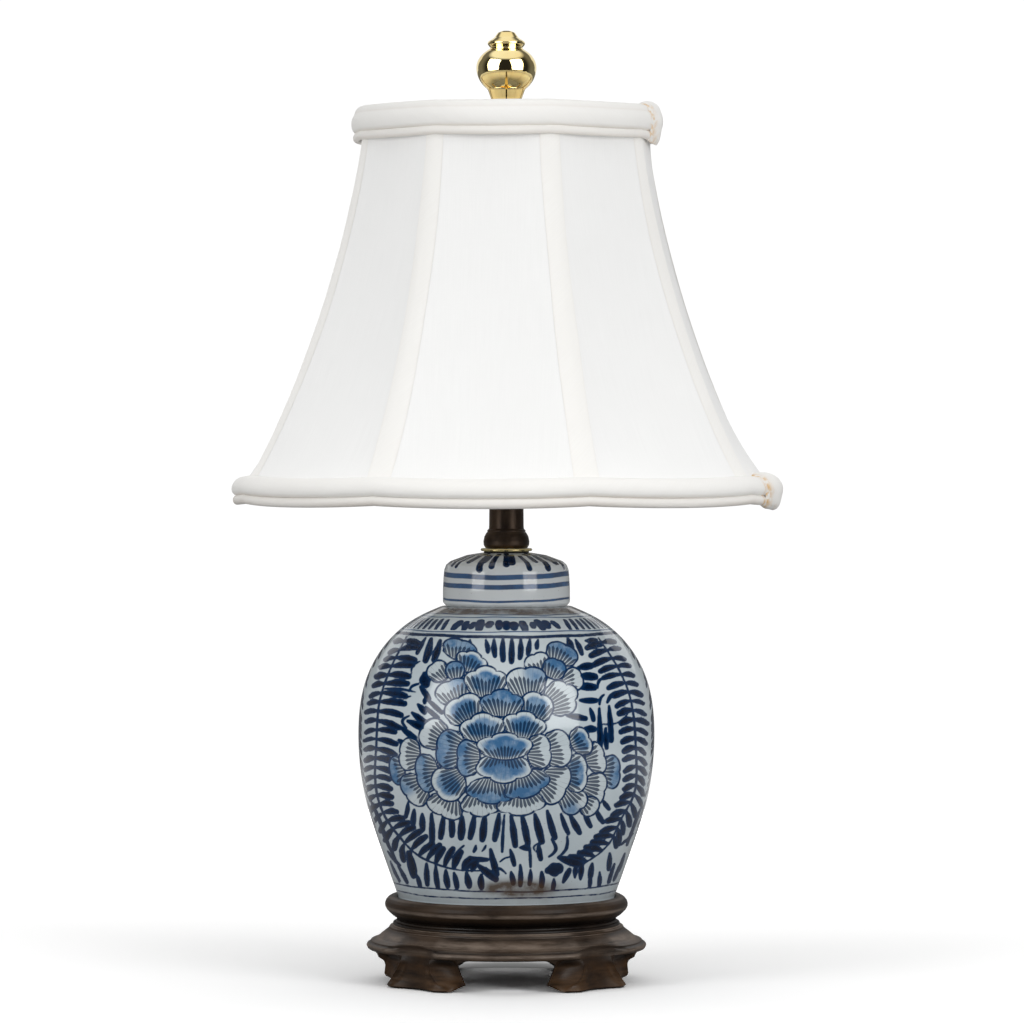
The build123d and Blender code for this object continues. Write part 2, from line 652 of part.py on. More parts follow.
# Finial: cup, ball, flattened bead and tip, bored for the stud.
ball_z = finial_z + finial_ball_lift
cup_z = finial_z + finial_cup_lift
bead_low_z = finial_z + finial_bead_lift
bead_high_z = bead_low_z + finial_bead_height
cup_meet = sqrt(finial_ball_r ** 2 - (ball_z - cup_z) ** 2)
bead_meet = sqrt(finial_ball_r ** 2 - (bead_low_z - ball_z) ** 2)
bore_r = stud_pin_r + running
bore_top_z = finial_z + stud_pin
finial = turned(
    Polyline(at(bore_r, finial_z), at(finial_foot_r, finial_z), at(finial_foot_r, finial_z + 8.5),
             at(finial_cup_r, cup_z - 1.0), at(finial_cup_r, cup_z), at(cup_meet, cup_z)),
    ThreePointArc(at(cup_meet, cup_z), at(finial_ball_r, ball_z), at(bead_meet, bead_low_z)),
    ThreePointArc(at(bead_meet, bead_low_z), at(finial_bead_r, (bead_low_z + bead_high_z) / 2),
                  at(finial_tip_r, bead_high_z)),
    Spline(at(finial_tip_r, bead_high_z), at(finial_tip_r * 0.82, bead_high_z + 1.7),
           at(0, finial_z + finial_height), tangents=[(0, 0, 1), (-1, 0, 0)]),
    Polyline(at(0, finial_z + finial_height), at(0, bore_top_z), at(bore_r, bore_top_z), at(bore_r, finial_z)),
)
save("finial", finial)
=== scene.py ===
# %% [markdown]
# # Dressing a porcelain jar lamp
# The solids of the lamp are already packed as a frame, and this lesson gives them their looks. Every new
# piece is a surface worked out with numpy on a grid of points, put where its solid stands. Lengths in the
# code are millimetres and are turned to metres only when a mesh is made.

# %% Load the frame
import json

import bpy
import numpy as np
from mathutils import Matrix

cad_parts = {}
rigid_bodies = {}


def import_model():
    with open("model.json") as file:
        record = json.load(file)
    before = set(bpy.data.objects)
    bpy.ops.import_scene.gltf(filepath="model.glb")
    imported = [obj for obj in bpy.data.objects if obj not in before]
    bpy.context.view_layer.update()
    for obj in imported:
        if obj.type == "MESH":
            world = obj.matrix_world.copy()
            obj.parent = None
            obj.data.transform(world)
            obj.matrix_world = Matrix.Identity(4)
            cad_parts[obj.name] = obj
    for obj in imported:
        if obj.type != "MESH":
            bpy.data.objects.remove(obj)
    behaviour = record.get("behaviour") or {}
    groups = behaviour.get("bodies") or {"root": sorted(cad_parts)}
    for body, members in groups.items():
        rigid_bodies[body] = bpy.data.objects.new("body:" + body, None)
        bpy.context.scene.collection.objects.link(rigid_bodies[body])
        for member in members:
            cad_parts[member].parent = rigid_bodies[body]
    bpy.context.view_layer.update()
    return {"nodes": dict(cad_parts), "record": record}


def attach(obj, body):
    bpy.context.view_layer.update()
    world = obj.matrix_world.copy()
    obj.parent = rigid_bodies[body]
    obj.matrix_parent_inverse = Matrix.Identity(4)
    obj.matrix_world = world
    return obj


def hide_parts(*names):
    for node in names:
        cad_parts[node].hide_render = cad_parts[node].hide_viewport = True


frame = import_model()
scene = bpy.context.scene

# %% [markdown]
# ## A grid of points
# A turned, bent or woven piece is a sheet of points with rows and columns, and four neighbours make a face.
# A closed direction joins its last line to its first, so there is no open seam.


# %% Grid helpers
def grid(*parts):
    """Arrays laid side by side as the coordinates of one grid of points; shorter ones are spread to fit."""
    return np.stack(np.broadcast_arrays(*parts), -1)


def about_axis(r, turn, z):
    """Points at a radius and a height, turned about the lamp's axis; turn 0 is the front."""
    return grid(r * np.sin(turn), -r * np.cos(turn), z)


def unit(ways):
    """Directions brought to length 1."""
    return ways / np.linalg.norm(ways, axis=-1, keepdims=True)


def grid_faces(rows, columns, ring_rows, ring_columns):
    """Four corner numbers per face: a point, the next in its row, and the two above them."""
    row = np.arange(rows if ring_rows else rows - 1)[:, None]
    column = np.arange(columns if ring_columns else columns - 1)[None, :]
    above = (row + 1) % rows
    beside = (column + 1) % columns
    return grid(row * columns + column, row * columns + beside,
                above * columns + beside, above * columns + column).reshape(-1, 4)


print("a tube of 3 rows and 8 columns has", len(grid_faces(3, 8, False, True)), "faces")

# %% [markdown]
# ## From grid to mesh
# Blender could add each vertex by hand, but writing the whole arrays at once is quicker and gives the same
# result every time. A mesh can also carry fields, which are one number per point for a finish to read, and
# a map of where each point lay on the flat cloth.


# %% Mesh helpers
millimetre = 0.001


def run_of(values):
    """Plain run of single-precision numbers, as foreach_set takes them."""
    return np.asarray(values).astype(np.float32).reshape(-1)


def surface(name, points, ring_rows=False, ring_columns=False, flip=False, fields=None, cloth_map=None,
            crease=50.0):
    """Mesh over a (rows, columns, 3) grid of millimetre points. Fields are one number per point, and
    cloth_map gives each point its place on the flat cloth."""
    rows, columns = points.shape[:2]
    faces = grid_faces(rows, columns, ring_rows, ring_columns)
    if flip:
        faces = faces[:, ::-1]
    mesh = bpy.data.meshes.new(name)
    mesh.vertices.add(rows * columns)
    mesh.vertices.foreach_set("co", run_of(points * millimetre))
    mesh.loops.add(faces.size)
    mesh.loops.foreach_set("vertex_index", faces.reshape(-1).astype(np.int32))
    mesh.polygons.add(len(faces))
    mesh.polygons.foreach_set("loop_start", np.arange(0, faces.size, 4, dtype=np.int32))
    mesh.update(calc_edges=True)
    for field, values in (fields or {}).items():
        layer = mesh.attributes.new(field, "FLOAT", "POINT")
        layer.data.foreach_set("value", run_of(np.broadcast_to(values, (rows, columns))))
    if cloth_map is not None:
        layer = mesh.uv_layers.new(name="cloth")
        layer.data.foreach_set("uv", run_of(cloth_map.reshape(-1, 2)[faces.reshape(-1)]))
    mesh.polygons.foreach_set("use_smooth", np.ones(len(faces), bool))
    mesh.validate()
    if crease:
        mesh.set_sharp_from_angle(angle=np.radians(crease))
    piece = bpy.data.objects.new(name, mesh)
    scene.collection.objects.link(piece)
    return piece


print("mesh helpers ready")

# %% [markdown]
# ## Fitting a piece to the frame
# A piece that stands for a solid moves with the solid's body and gets its finish, so the dressed lamp comes
# apart just as the solids do.


# %% Fit
def fit(piece, body, slot, finish, *nodes):
    """Gives a piece its finish and ties it to the body it moves with and the solids it stands for."""
    piece.data.materials.append(finish)
    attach(piece, body)
    if nodes:
        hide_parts(*nodes)
    print(piece.name, len(piece.data.polygons), "faces")
    return piece


print("fit ready")

# %% [markdown]
# ## Outlines
# A turned piece needs only its side: a line of radius and height. Corners are rounded, because worn wood,
# cast glaze and polished brass have no sharp ones.


# %% Outline helpers
def turned(outline, columns):
    """Grid of a turned piece: each outline point (radius, height) is carried round the lamp's axis."""
    turn = np.linspace(0, 2 * np.pi, columns, endpoint=False)
    return about_axis(outline[:, :1], turn, outline[:, 1:])


def bent_line(points, radius, step, arc=9):
    """Outline through corner points. Each inner corner becomes an arc of that radius, or of as much as fits,
    with so many points on it, and no gap is longer than the step."""
    points = np.array(points, float)
    parts = [points[:1]]
    for before, corner, after in zip(points[:-2], points[1:-1], points[2:]):
        back, on = before - corner, after - corner
        room = min(np.linalg.norm(back), np.linalg.norm(on)) / 2
        back, on = back / np.linalg.norm(back), on / np.linalg.norm(on)
        half = np.arccos(np.clip(back @ on, -1, 1)) / 2
        reach = min(radius / np.tan(half), room) if half < 1.5 else 0
        swing = np.linspace(0, 1, arc)[:, None]
        start, end = corner + back * reach, corner + on * reach
        parts.append((1 - swing) ** 2 * start + 2 * swing * (1 - swing) * corner + swing ** 2 * end)
    line = np.vstack(parts + [points[-1:]])
    return resample(line, step)


def resample(line, step):
    """The same line with extra points so that no gap is longer than the step."""
    gaps = np.linalg.norm(np.diff(line, axis=0), axis=1)
    line = np.vstack([line[:1], line[1:][gaps > 1e-6]])
    gaps = gaps[gaps > 1e-6]
    along = np.concatenate([[0], np.cumsum(gaps)])
    extra = [np.linspace(near, far, max(2, int(np.ceil((far - near) / step)) + 1))[:-1]
             for near, far in zip(along[:-1], along[1:])]
    stops = np.concatenate(extra + [along[-1:]])
    return np.stack([np.interp(stops, along, line[:, axis]) for axis in range(line.shape[1])], -1)


print("outline helpers ready")

# %% [markdown]
# ## Soft steps
# Carving, wear and paint rarely start or stop at a line. Two small curves serve for all of them: a smooth
# step from nothing to all, and a hill that fades to both sides.


# %% Soft steps
def ease(low, high, value):
    """0 below low, 1 above high, a smooth S between them."""
    share = np.clip((value - low) / (high - low), 0, 1)
    return share * share * (3 - 2 * share)


def hill(value, middle, width):
    """1 at the middle, falling off to both sides as a bell curve."""
    return np.exp(-((value - middle) / width) ** 2)


print("a step is at", ease(0, 4, 1), "after a quarter of its way")

# %% [markdown]
# ## Camera
# The camera stands far off with a long lens, a little above the lamp's middle, and looks slightly down.
# From nearer by, the edges of the shade would bow more than they do in the photo.

# %% Camera
eye_away, eye_height = 2772.5, 305.0
eye = np.array([0.0, -eye_away, eye_height]) / 1000
aim = np.array([0.0031, 0.0, 0.2595])
camera = bpy.data.objects.new("camera", bpy.data.cameras.new("camera"))
scene.collection.objects.link(camera)
camera.data.sensor_width = 36.0
camera.data.lens = 175.8
camera.location = eye
tilt = np.arctan2(aim[2] - eye[2], aim[1] - eye[1])
swing = np.arctan2(-(aim[0] - eye[0]), aim[1] - eye[1])
camera.rotation_euler = (np.pi / 2 + tilt, 0.0, swing)
scene.camera = camera
print("camera tilts", round(float(np.degrees(tilt)), 2), "degrees")

# %% [markdown]
# ## Nodes
# A finish is a small graph of nodes. Each helper adds a node or two and takes constants or other nodes'
# outputs, so a finish below reads as a list of steps.


# %% Node helpers
def new_finish(name, **sockets):
    """Material with one Principled shader; constant values are set on its own sockets."""
    finish = bpy.data.materials.new(name)
    finish.use_nodes = True
    shader = finish.node_tree.nodes["Principled BSDF"]
    for socket, value in sockets.items():
        shader.inputs[socket.replace("_", " ")].default_value = value
    return finish


def add(tree, kind, inputs=None, **settings):
    """New node; each input is a constant or another node's output."""
    node = tree.nodes.new(kind)
    for key, value in settings.items():
        setattr(node, key, value)
    for key, value in (inputs or {}).items():
        if isinstance(value, bpy.types.NodeSocket):
            tree.links.new(value, node.inputs[key])
        else:
            node.inputs[key].default_value = value
    return node


def field(tree, name):
    """One number per point that the mesh carries."""
    return add(tree, "ShaderNodeAttribute", attribute_name=name).outputs["Fac"]


def sums(tree, operation, first, second=0.0, third=0.0, clamp=False):
    """One operation on up to three numbers."""
    node = add(tree, "ShaderNodeMath", {0: first, 1: second, 2: third}, operation=operation)
    node.use_clamp = clamp
    return node.outputs[0]


print("node helpers ready")

# %% [markdown]
# ## Places and noise
# Noise is placed by a piece's own coordinates and so moves with it. Stretched coordinates turn a cloud into
# grain or turning lines, and a change of range makes it strong or faint.


# %% Place and noise nodes
def place(tree, stretch=(1, 1, 1)):
    """Object coordinates in metres, scaled on each axis."""
    source = add(tree, "ShaderNodeTexCoord").outputs["Object"]
    return add(tree, "ShaderNodeMapping", {"Vector": source, "Scale": stretch}).outputs[0]


def height_in(tree):
    """Height above the table in metres."""
    return add(tree, "ShaderNodeSeparateXYZ", {0: place(tree)}).outputs[2]


def noise(tree, where, scale, detail=3.0, roughness=0.5):
    """Cloudy number between about 0.3 and 0.7."""
    inputs = {"Vector": where, "Scale": scale, "Detail": detail, "Roughness": roughness}
    return add(tree, "ShaderNodeTexNoise", inputs).outputs["Fac"]


def span(tree, value, from_low, from_high, to_low, to_high):
    """Value carried from one range to another, and held at the ends."""
    inputs = {"Value": value, "From Min": from_low, "From Max": from_high,
              "To Min": to_low, "To Max": to_high}
    return add(tree, "ShaderNodeMapRange", inputs).outputs["Result"]


def nudge(tree, cloud, amount, value):
    """Value pushed up and down by a cloudy number."""
    return sums(tree, "MULTIPLY_ADD", sums(tree, "SUBTRACT", cloud, 0.5), amount, value)


print("place and noise nodes ready")

# %% [markdown]
# ## Colours
# Colours are written as they look on a screen and turned to the linear numbers that light adds up in. The
# last helper links what was worked out to the shader.


# %% Colour nodes
def colour(red, green, blue):
    """Screen colour, 0 to 255, as the linear numbers that shaders work in."""
    level = np.array([red, green, blue]) / 255
    linear = np.where(level <= 0.04045, level / 12.92, ((level + 0.055) / 1.055) ** 2.4)
    return (*(float(part) for part in linear), 1.0)


def grey(level):
    """Grey in linear numbers; the table's paint goes over 1 where it has to end in white."""
    return (level, level, level, 1.0)


def blend_colours(tree, share, first, second):
    """Two colours mixed by a share."""
    return add(tree, "ShaderNodeMix", {0: share, 6: first, 7: second}, data_type="RGBA").outputs[2]


def shade_with(finish, tone, roughness=None, height=None, depth=0.0, strength=1.0, **more):
    """Links worked-out colour, roughness and relief to the finish's shader. Depth is the relief in metres."""
    tree = finish.node_tree
    shader = tree.nodes["Principled BSDF"]
    tree.links.new(tone, shader.inputs["Base Color"])
    if roughness is not None:
        tree.links.new(roughness, shader.inputs["Roughness"])
    if height is not None:
        bump = add(tree, "ShaderNodeBump", {"Height": height, "Distance": depth, "Strength": strength})
        tree.links.new(bump.outputs[0], shader.inputs["Normal"])
    for socket, value in more.items():
        tree.links.new(value, shader.inputs[socket.replace("_", " ")])
    return finish


print("middle grey on a screen is", round(colour(128, 128, 128)[0], 3), "in linear numbers")

# %% [markdown]
# ## Table
# The lamp stands on a white table, one sheet that ends in white at its far edge. It throws less light back
# near the lamp than it shows, so that the jar's lower half keeps its depth. A painted shadow darkens it
# between the back feet, and under the middle of the stand it is painted brighter, which lifts the real shadow
# there, as the photo's is.

# %% Table
scene.view_settings.view_transform = "Standard"
floor_half, floor_z = 1250, -0.5
reach = np.linspace(-floor_half, floor_half, 26)
floor = surface("floor", grid(reach[:, None], reach[None, :], floor_z))
white_table = new_finish("white_table", Roughness=0.9, Specular_IOR_Level=0.1)
tree = white_table.node_tree
seen = add(tree, "ShaderNodeLightPath").outputs["Is Camera Ray"]
far = add(tree, "ShaderNodeVectorMath", {0: place(tree)}, operation="LENGTH").outputs["Value"]
paint = blend_colours(tree, span(tree, far, 0.25, 0.8, 0, 1), grey(1.09), grey(1.32))
paint = blend_colours(tree, span(tree, noise(tree, place(tree), 0.8), 0.3, 0.7, 0, 0.2), paint, grey(1.26))
apart = add(tree, "ShaderNodeSeparateXYZ", {0: place(tree)}).outputs
# Painted shadow: the table's colour is darkened between the back feet.
aside = span(tree, sums(tree, "ABSOLUTE", apart[0]), 0.025, 0.05, 1, 0)
back_feet = span(tree, apart[1], 0.045, 0.06, 0, 0.7)
under_stand = span(tree, far, 0.085, 0.12, 1, 0)
painted_shadow_between_feet = sums(tree, "MULTIPLY", sums(tree, "MULTIPLY", back_feet, under_stand), aside)
paint = blend_colours(tree, painted_shadow_between_feet, paint, grey(0.1))
# Painted light: right under the middle of the stand the table is painted far brighter, which lifts the real
# shadow there.
paint = blend_colours(tree, span(tree, far, 0.04, 0.066, 1, 0), paint, grey(4.5))
thrown = blend_colours(tree, span(tree, far, 0.4, 0.9, 0, 1), grey(0.24), grey(0.66))
tree.nodes["Principled BSDF"].inputs["Emission Color"].default_value = grey(1.0)
edge_glow = sums(tree, "MULTIPLY", seen, span(tree, far, 0.75, 1.1, 0, 1.0))
shade_with(white_table, blend_colours(tree, seen, thrown, paint), Emission_Strength=edge_glow)
floor.data.materials.append(white_table)
print("table", 2 * floor_half, "mm wide")

# %% [markdown]
# ## Sky
# The sky is bright overhead, softer behind the lamp and nearly dark in front, as a studio is: polished
# brass then mirrors white boxes in a dark room. Matt pieces get a little fill from the front, which mirrors
# don't show.

# %% Sky
sky = bpy.data.worlds.new("studio")
sky.use_nodes = True
scene.world = sky
tree = sky.node_tree
sky_way = add(tree, "ShaderNodeTexCoord").outputs["Generated"]
_, back_way, up_way = add(tree, "ShaderNodeSeparateXYZ", {0: sky_way}).outputs
ray = add(tree, "ShaderNodeLightPath").outputs
lit_overhead, mirrored_overhead = span(tree, up_way, 0.42, 0.68, 0, 0.9), span(tree, up_way, 0.7, 0.84, 0, 1)
overhead = add(tree, "ShaderNodeMix",
               {0: ray["Is Glossy Ray"], 2: lit_overhead, 3: mirrored_overhead}).outputs[0]
behind = span(tree, back_way, -0.05, 0.35, 0.02, 0.16)
fill = sums(tree, "MULTIPLY", ray["Is Diffuse Ray"], span(tree, back_way, -0.9, -0.6, 0.32, 0))
glow = sums(tree, "ADD", sums(tree, "MAXIMUM", overhead, behind), fill)
level = add(tree, "ShaderNodeMix", {0: ray["Is Camera Ray"], 2: glow, 3: 1.05}).outputs[0]
tree.nodes["Background"].inputs["Color"].default_value = grey(1.0)
tree.links.new(level, tree.nodes["Background"].inputs["Strength"])
print("sky ready")

# %% [markdown]
# ## Soft boxes
# Two tall soft boxes stand in front of the lamp, left and right, and a wide one behind. The glaze shows the
# front pair as two soft patches of light.


# %% Soft boxes
def soft_box(name, where, towards, wide, high, power):
    """Flat lamp of so many metres and watts, facing a point."""
    lamp = bpy.data.lights.new(name, "AREA")
    lamp.shape, lamp.size, lamp.size_y, lamp.energy = "RECTANGLE", wide, high, power
    box = bpy.data.objects.new(name, lamp)
    scene.collection.objects.link(box)
    box.location = where
    line = np.array(towards, float) - np.array(where, float)
    flat = np.hypot(line[0], line[1])
    box.rotation_euler = (np.arctan2(flat, -line[2]), 0.0, np.arctan2(-line[0], line[1]))
    return box


soft_box("soft_box_left", (-1.07, -0.82, 0.63), (0, 0, 0.3), 0.62, 0.9, 7.1)
soft_box("soft_box_right", (0.93, -0.97, 0.63), (0, 0, 0.3), 0.66, 0.9, 8.8)
soft_box("soft_box_back", (0.0, 1.0, 0.8), (0, 0, 0.45), 1.9, 0.7, 3.0)
print("soft boxes ready")

# %% [markdown]
# ## Carved stand
# The stand is dark stained hardwood: a moulded ring on four bracket feet, with an arch cut through each
# side and a hollow flute down each corner. A lathe profile alone can't give it, because arches and flutes
# break the turning. So the profile is one closed loop of rows, and the columns run round the stand: under
# the arches the rows that would make a foot are drawn in along the underside instead. The jambs are then
# one strip of faces. Beside each arch a foot has a hollow leaf cut into its face, bounded by a curved ridge
# that one column follows.

# %% Moulding
hole_r, face_r, hollow_r = 5.6, 75.2, 54.5
toe_rise, foot_top, arch_top, deck, frame_top = 3.6, 17.2, 17.6, 24.0, 34.0
outer_side = bent_line([(59.5, frame_top), (60.9, frame_top), (61.2, 32.9), (62.7, 32.5), (63.0, 31.5),
                        (62.8, 30.8), (64.7, 30.3), (65.3, 29.0), (66.4, 28.0), (68.6, 26.4), (71.4, 24.1),
                        (73.6, 23.0), (75.2, 22.5), (76.9, 21.4), (77.7, 19.6), (76.9, 18.0),
                        (75.4, arch_top)], 0.8, 0.6)
outer_side = np.vstack([[(hole_r, frame_top)], outer_side])
inner_side = bent_line([(hollow_r, arch_top), (hollow_r, deck), (hole_r, deck)], 0.5, 4.0)
print("moulding of", len(outer_side), "points")

# %% [markdown]
# ## Faces of the feet
# A foot's face lies between an arch and the flute of its corner. Small functions give these edges and faces
# at any height, and a soft least joins two faces without a hard edge.


# %% Foot shapes
def soft_least(first, second, round_off):
    """The smaller of two numbers, with the corner between them rounded off."""
    share = np.clip(0.5 + 0.5 * (second - first) / round_off, 0, 1)
    return second + (first - second) * share - round_off * share * (1 - share)


corner, jamb_splay = np.pi / 4, np.radians(8.0)


def edge_angle(z):
    """Half angle of an arch: it opens as it rises, because the toes reach in at the floor."""
    return np.radians(np.interp(z, [toe_rise, 16.0], [18.6, 22.2]))


def ridge_angle(z):
    """Half angle of the ridge round the leaf-shaped hollow beside an arch: it sweeps out as it rises."""
    heights, angles = [0, 1.9, 3.5, 5.7, 9.6, 13.5, foot_top], [25.8, 27.6, 29.5, 31.8, 34.4, 35.8, 36.2]
    return np.radians(np.interp(z, heights, angles))


def flute_radius(off, z):
    """Radius of the hollow down a corner: a circle about a point far out, fading into the moulding above."""
    flute_r, flute_out = 40.0, 109.5
    hollow = flute_out * np.cos(off) - np.sqrt(np.maximum(flute_r ** 2 - (flute_out * np.sin(off)) ** 2, 0.1))
    return hollow + 9.0 * ease(20.5, 31.0, z) + 1.2 * ease(6, 0, z)


def face_radius(z):
    """Radius of a foot's face: a slight waist under the moulding, then out again to the toe."""
    low = 1 - z / foot_top
    return face_r - 0.7 * low + 0.8 * ease(0.5, 1.0, low) - 1.0 * ease(0.1, 0.45, low) * ease(0.95, 0.5, low)


arch_half = edge_angle(13.0)
print("an arch opens by", round(float(np.degrees(2 * arch_half)), 1), "degrees")

# %% [markdown]
# ## Feet and arches
# A column of points runs down the moulding, then either down a foot's face, under its sole and up its back,
# or straight under an arch. Both kinds have the same number of points, so they join to one grid.

# %% Feet and arches
face_rows, sole_rows, back_rows = 26, 9, 9
span_rows = face_rows + sole_rows + back_rows


def foot_column(step):
    """One line down a foot's face, under its sole and up its back. Step runs from the arch (0) by the ridge
    (0.5) to the corner (1). Between arch and ridge the face is a hollow leaf that hangs from the ridge. The
    toe is tucked in at the floor, and beside the ridge the face is a little sunk."""
    z_low = toe_rise * max(0.0, 1 - step / 0.48) ** 1.15
    z_high = foot_top - 4.2 * max(0.0, 1 - step / 0.06)
    z = z_low + (z_high - z_low) * (1 - np.linspace(0, 1, face_rows))
    share = 1 - 2 * min(step, 0.5)
    ridge, edge = ridge_angle(z), edge_angle(z)
    angle = edge + (ridge - edge) * 2 * step if step < 0.5 else ridge + (corner - ridge) * (2 * step - 1)
    beside = max(0.0, 2 * step - 1)
    tuck = 2.0 * ease(9.0, 0.5, z)
    sunk = 0.9 * np.sin(np.pi * min(1.0, beside / 0.4)) * ease(15.5, 11.0, z) * ease(0.5, 3.5, z)
    plain_r = soft_least(face_radius(z), flute_radius(corner - angle, z), 1.2)
    plain_r = plain_r - tuck * max(0.0, 1 - 2.5 * beside) ** 2 - sunk
    ridge_r = soft_least(face_radius(z), flute_radius(corner - ridge, z), 1.2) - tuck
    leaf_edge_r = 71.2 - 2.4 * ease(6.5, 2, z)
    leaf_hollow = 2.6 * np.sin(np.pi * share) ** 0.8 * ease(foot_top, 13.0, z)
    leaf_r = ridge_r - (ridge_r - leaf_edge_r) * share - leaf_hollow
    r = leaf_r if step < 0.5 else plain_r
    r[-1] -= 1.0
    z[-2] = z[-1] + 0.7
    under = np.linspace(0, 1, sole_rows + 2)[1:-1]
    up = np.linspace(0, 1, back_rows)
    back_z = z_low + (arch_top - z_low) * up
    back_edge = edge_angle(back_z) + jamb_splay
    whole_z = np.concatenate([z, np.full(sole_rows, z_low), back_z])
    whole_r = np.concatenate([r, r[-1] + (hollow_r - r[-1]) * under, np.full(back_rows, hollow_r)])
    back = back_edge + (corner - back_edge) * step
    whole_a = np.concatenate([angle, angle[-1] + (back[0] - angle[-1]) * under, back])
    return whole_a, whole_r, whole_z


def arch_column(step):
    """One line under an arch from the face to the hollow; the arch's top corners round down to the feet."""
    drop = 4.6 * (1 - np.sqrt(1 - np.clip((abs(step) - 0.7) / 0.3, 0, 1) ** 2 * 0.98))
    under = np.linspace(0, 1, span_rows)
    angle = step * (arch_half + jamb_splay * under)
    return angle, face_r + (hollow_r - face_r) * under, np.full(span_rows, arch_top - drop)


print("columns of", len(outer_side) + span_rows + len(inner_side) - 1, "points")

# %% [markdown]
# ## Stand grid
# Half a foot, an arch and another half foot make a quarter of the stand, and four quarters make the ring.
# The flutes are then carried up into the moulding, which is also drawn in a little at the corners and gets
# a groove along each apron.

# %% Stand grid
arch_steps = np.linspace(-1, 1, 51)[1:-1]
arch_steps = np.sign(arch_steps) * np.abs(arch_steps) ** 0.8
foot_steps = np.linspace(0, 1, 33)
top_edge, top_ridge = edge_angle(foot_top), ridge_angle(foot_top)
above_foot = np.where(foot_steps < 0.5, top_edge + (top_ridge - top_edge) * 2 * foot_steps,
                      top_ridge + (corner - top_ridge) * (2 * foot_steps - 1))
foot_columns = [foot_column(step) for step in foot_steps]
quarter_columns = [(-above, -a, r, z) for above, (a, r, z) in zip(above_foot[:-1], foot_columns[:-1])][::-1]
quarter_columns += [(step * arch_half, *arch_column(step)) for step in arch_steps]
quarter_columns += [(above, a, r, z) for above, (a, r, z) in zip(above_foot, foot_columns)]
outer_count = len(outer_side)
lines = []
for quarter in range(4):
    for above, a, r, z in quarter_columns:
        whole_a = np.concatenate([np.full(outer_count, above), a, np.full(len(inner_side) - 1, a[-1])])
        whole_r = np.concatenate([outer_side[:, 0], r, inner_side[1:, 0]])
        whole_z = np.concatenate([outer_side[:, 1], z, inner_side[1:, 1]])
        lines.append((whole_a + quarter * np.pi / 2, whole_r, whole_z))
frame_a, frame_r, frame_z = (np.array(part).T for part in zip(*lines))
off_corner = np.abs(np.abs((frame_a + corner) % (2 * corner) - corner) - corner)
row_number = np.arange(len(frame_r))[:, None]
moulding, outside = row_number < outer_count, row_number < outer_count + face_rows
fluted = soft_least(frame_r, flute_radius(off_corner, frame_z), 2.4)
frame_r = np.where(moulding & (off_corner < 0.36), np.minimum(fluted, frame_r), frame_r)
near_corner = ease(0.45, 0.0, off_corner) * ease(33, 27, frame_z) * ease(14, 19, frame_z)
frame_r = frame_r * (1 - 0.02 * near_corner * outside)
along_apron = ease(0.16, 0.24, off_corner) * moulding
groove_z = 21.6
frame_r = frame_r - 1.2 * hill(frame_z, groove_z, 0.55) * along_apron
frame_points = about_axis(frame_r, frame_a, frame_z)
print("stand grid", frame_points.shape)

# %% [markdown]
# ## Wear, painted highlights and painted shade
# Hands and dusters rub the beads of the moulding and the fronts of the feet, and pale lines along the apron,
# its lip and the top bead are painted highlights. Painted shade darkens the flutes, the top of the frame
# under the collar, the place under the apron and the underside, and the grooves hold dirt and wax and are
# darkened further as painted shade. Sharp edges are found from the grid itself, by how far a point stands out
# between its neighbours.


# %% Wear, highlights and shade
def wear_of(points, reach):
    """How sharply a closed grid bulges at each point, 1 for a bend of about 1 mm: the mean of the neighbours
    so many rows or columns away lies under it."""
    up, down = np.roll(points, -reach, 0), np.roll(points, reach, 0)
    right, left = np.roll(points, -reach, 1), np.roll(points, reach, 1)
    normal = np.cross(right - left, up - down)
    normal /= np.linalg.norm(normal, axis=2, keepdims=True) + 1e-9
    bulge = np.zeros(points.shape[:2])
    for one, other in ((up, down), (right, left)):
        size = ((one - other) ** 2).sum(2) / 4 + 1e-6
        bend = ((points - (one + other) / 2) * normal).sum(2) * 2 / size
        bulge = np.maximum(bulge, bend)
    return np.clip(bulge, 0, 1.5)


# Painted highlights: pale lines on the apron, its lip and the top bead, counted with the wear; the lower feet
# are rubbed lighter.
rubbed_and_highlit = 0.66 * hill(frame_z, 25.2, 2.6) + 0.7 * hill(frame_z, 19.8, 1.4) + 0.6 * hill(frame_z, 30.4, 0.5)
rubbed_and_highlit = rubbed_and_highlit * moulding * (0.35 + 0.65 * along_apron) + 0.34 * ease(16, 3, frame_z) * outside
# Painted shade: the flutes, the place under the apron, the top of the frame under the collar and the
# underside (0.8) are darkened; the grooves get painted shade and dirt.
flute_shade = 0.6 * ease(0.2, 0.06, off_corner) * ease(17, 3, frame_z)
shade_under_apron = 0.55 * ease(11.5, 16.5, frame_z) * ~moulding
shade_and_dirt = ease(30.6, 32.0, frame_z) * moulding + (flute_shade + shade_under_apron) * outside
shade_and_dirt = shade_and_dirt + (hill(frame_z, groove_z, 0.6) + 0.6 * hill(frame_z, 28.4, 0.9)) * along_apron
shade_and_dirt = np.where(outside, np.clip(shade_and_dirt, 0, 1), 0.8)
stand_wear_and_highlight = np.clip(0.45 * wear_of(frame_points, 2) + rubbed_and_highlit, 0, 1)
print("mean wear", round(float(stand_wear_and_highlight.mean()), 2), "mean grime", round(float(shade_and_dirt.mean()), 2))

# %% [markdown]
# ## Stained wood
# The stain has rubbed through on every edge, greyer on the mouldings than on the feet, and the rubbed tone
# also paints highlights along the beads. The hollows are painted nearly black-brown as painted shade, with
# dirt in the grooves. The grain is drawn round the stand, so the noise is squeezed in height. Wear and
# highlight, and shade and grime, come with the mesh: one number per point that says how much the surface
# bulges, is rubbed or is painted lit there, and one for the painted shade and dirt in hollows.

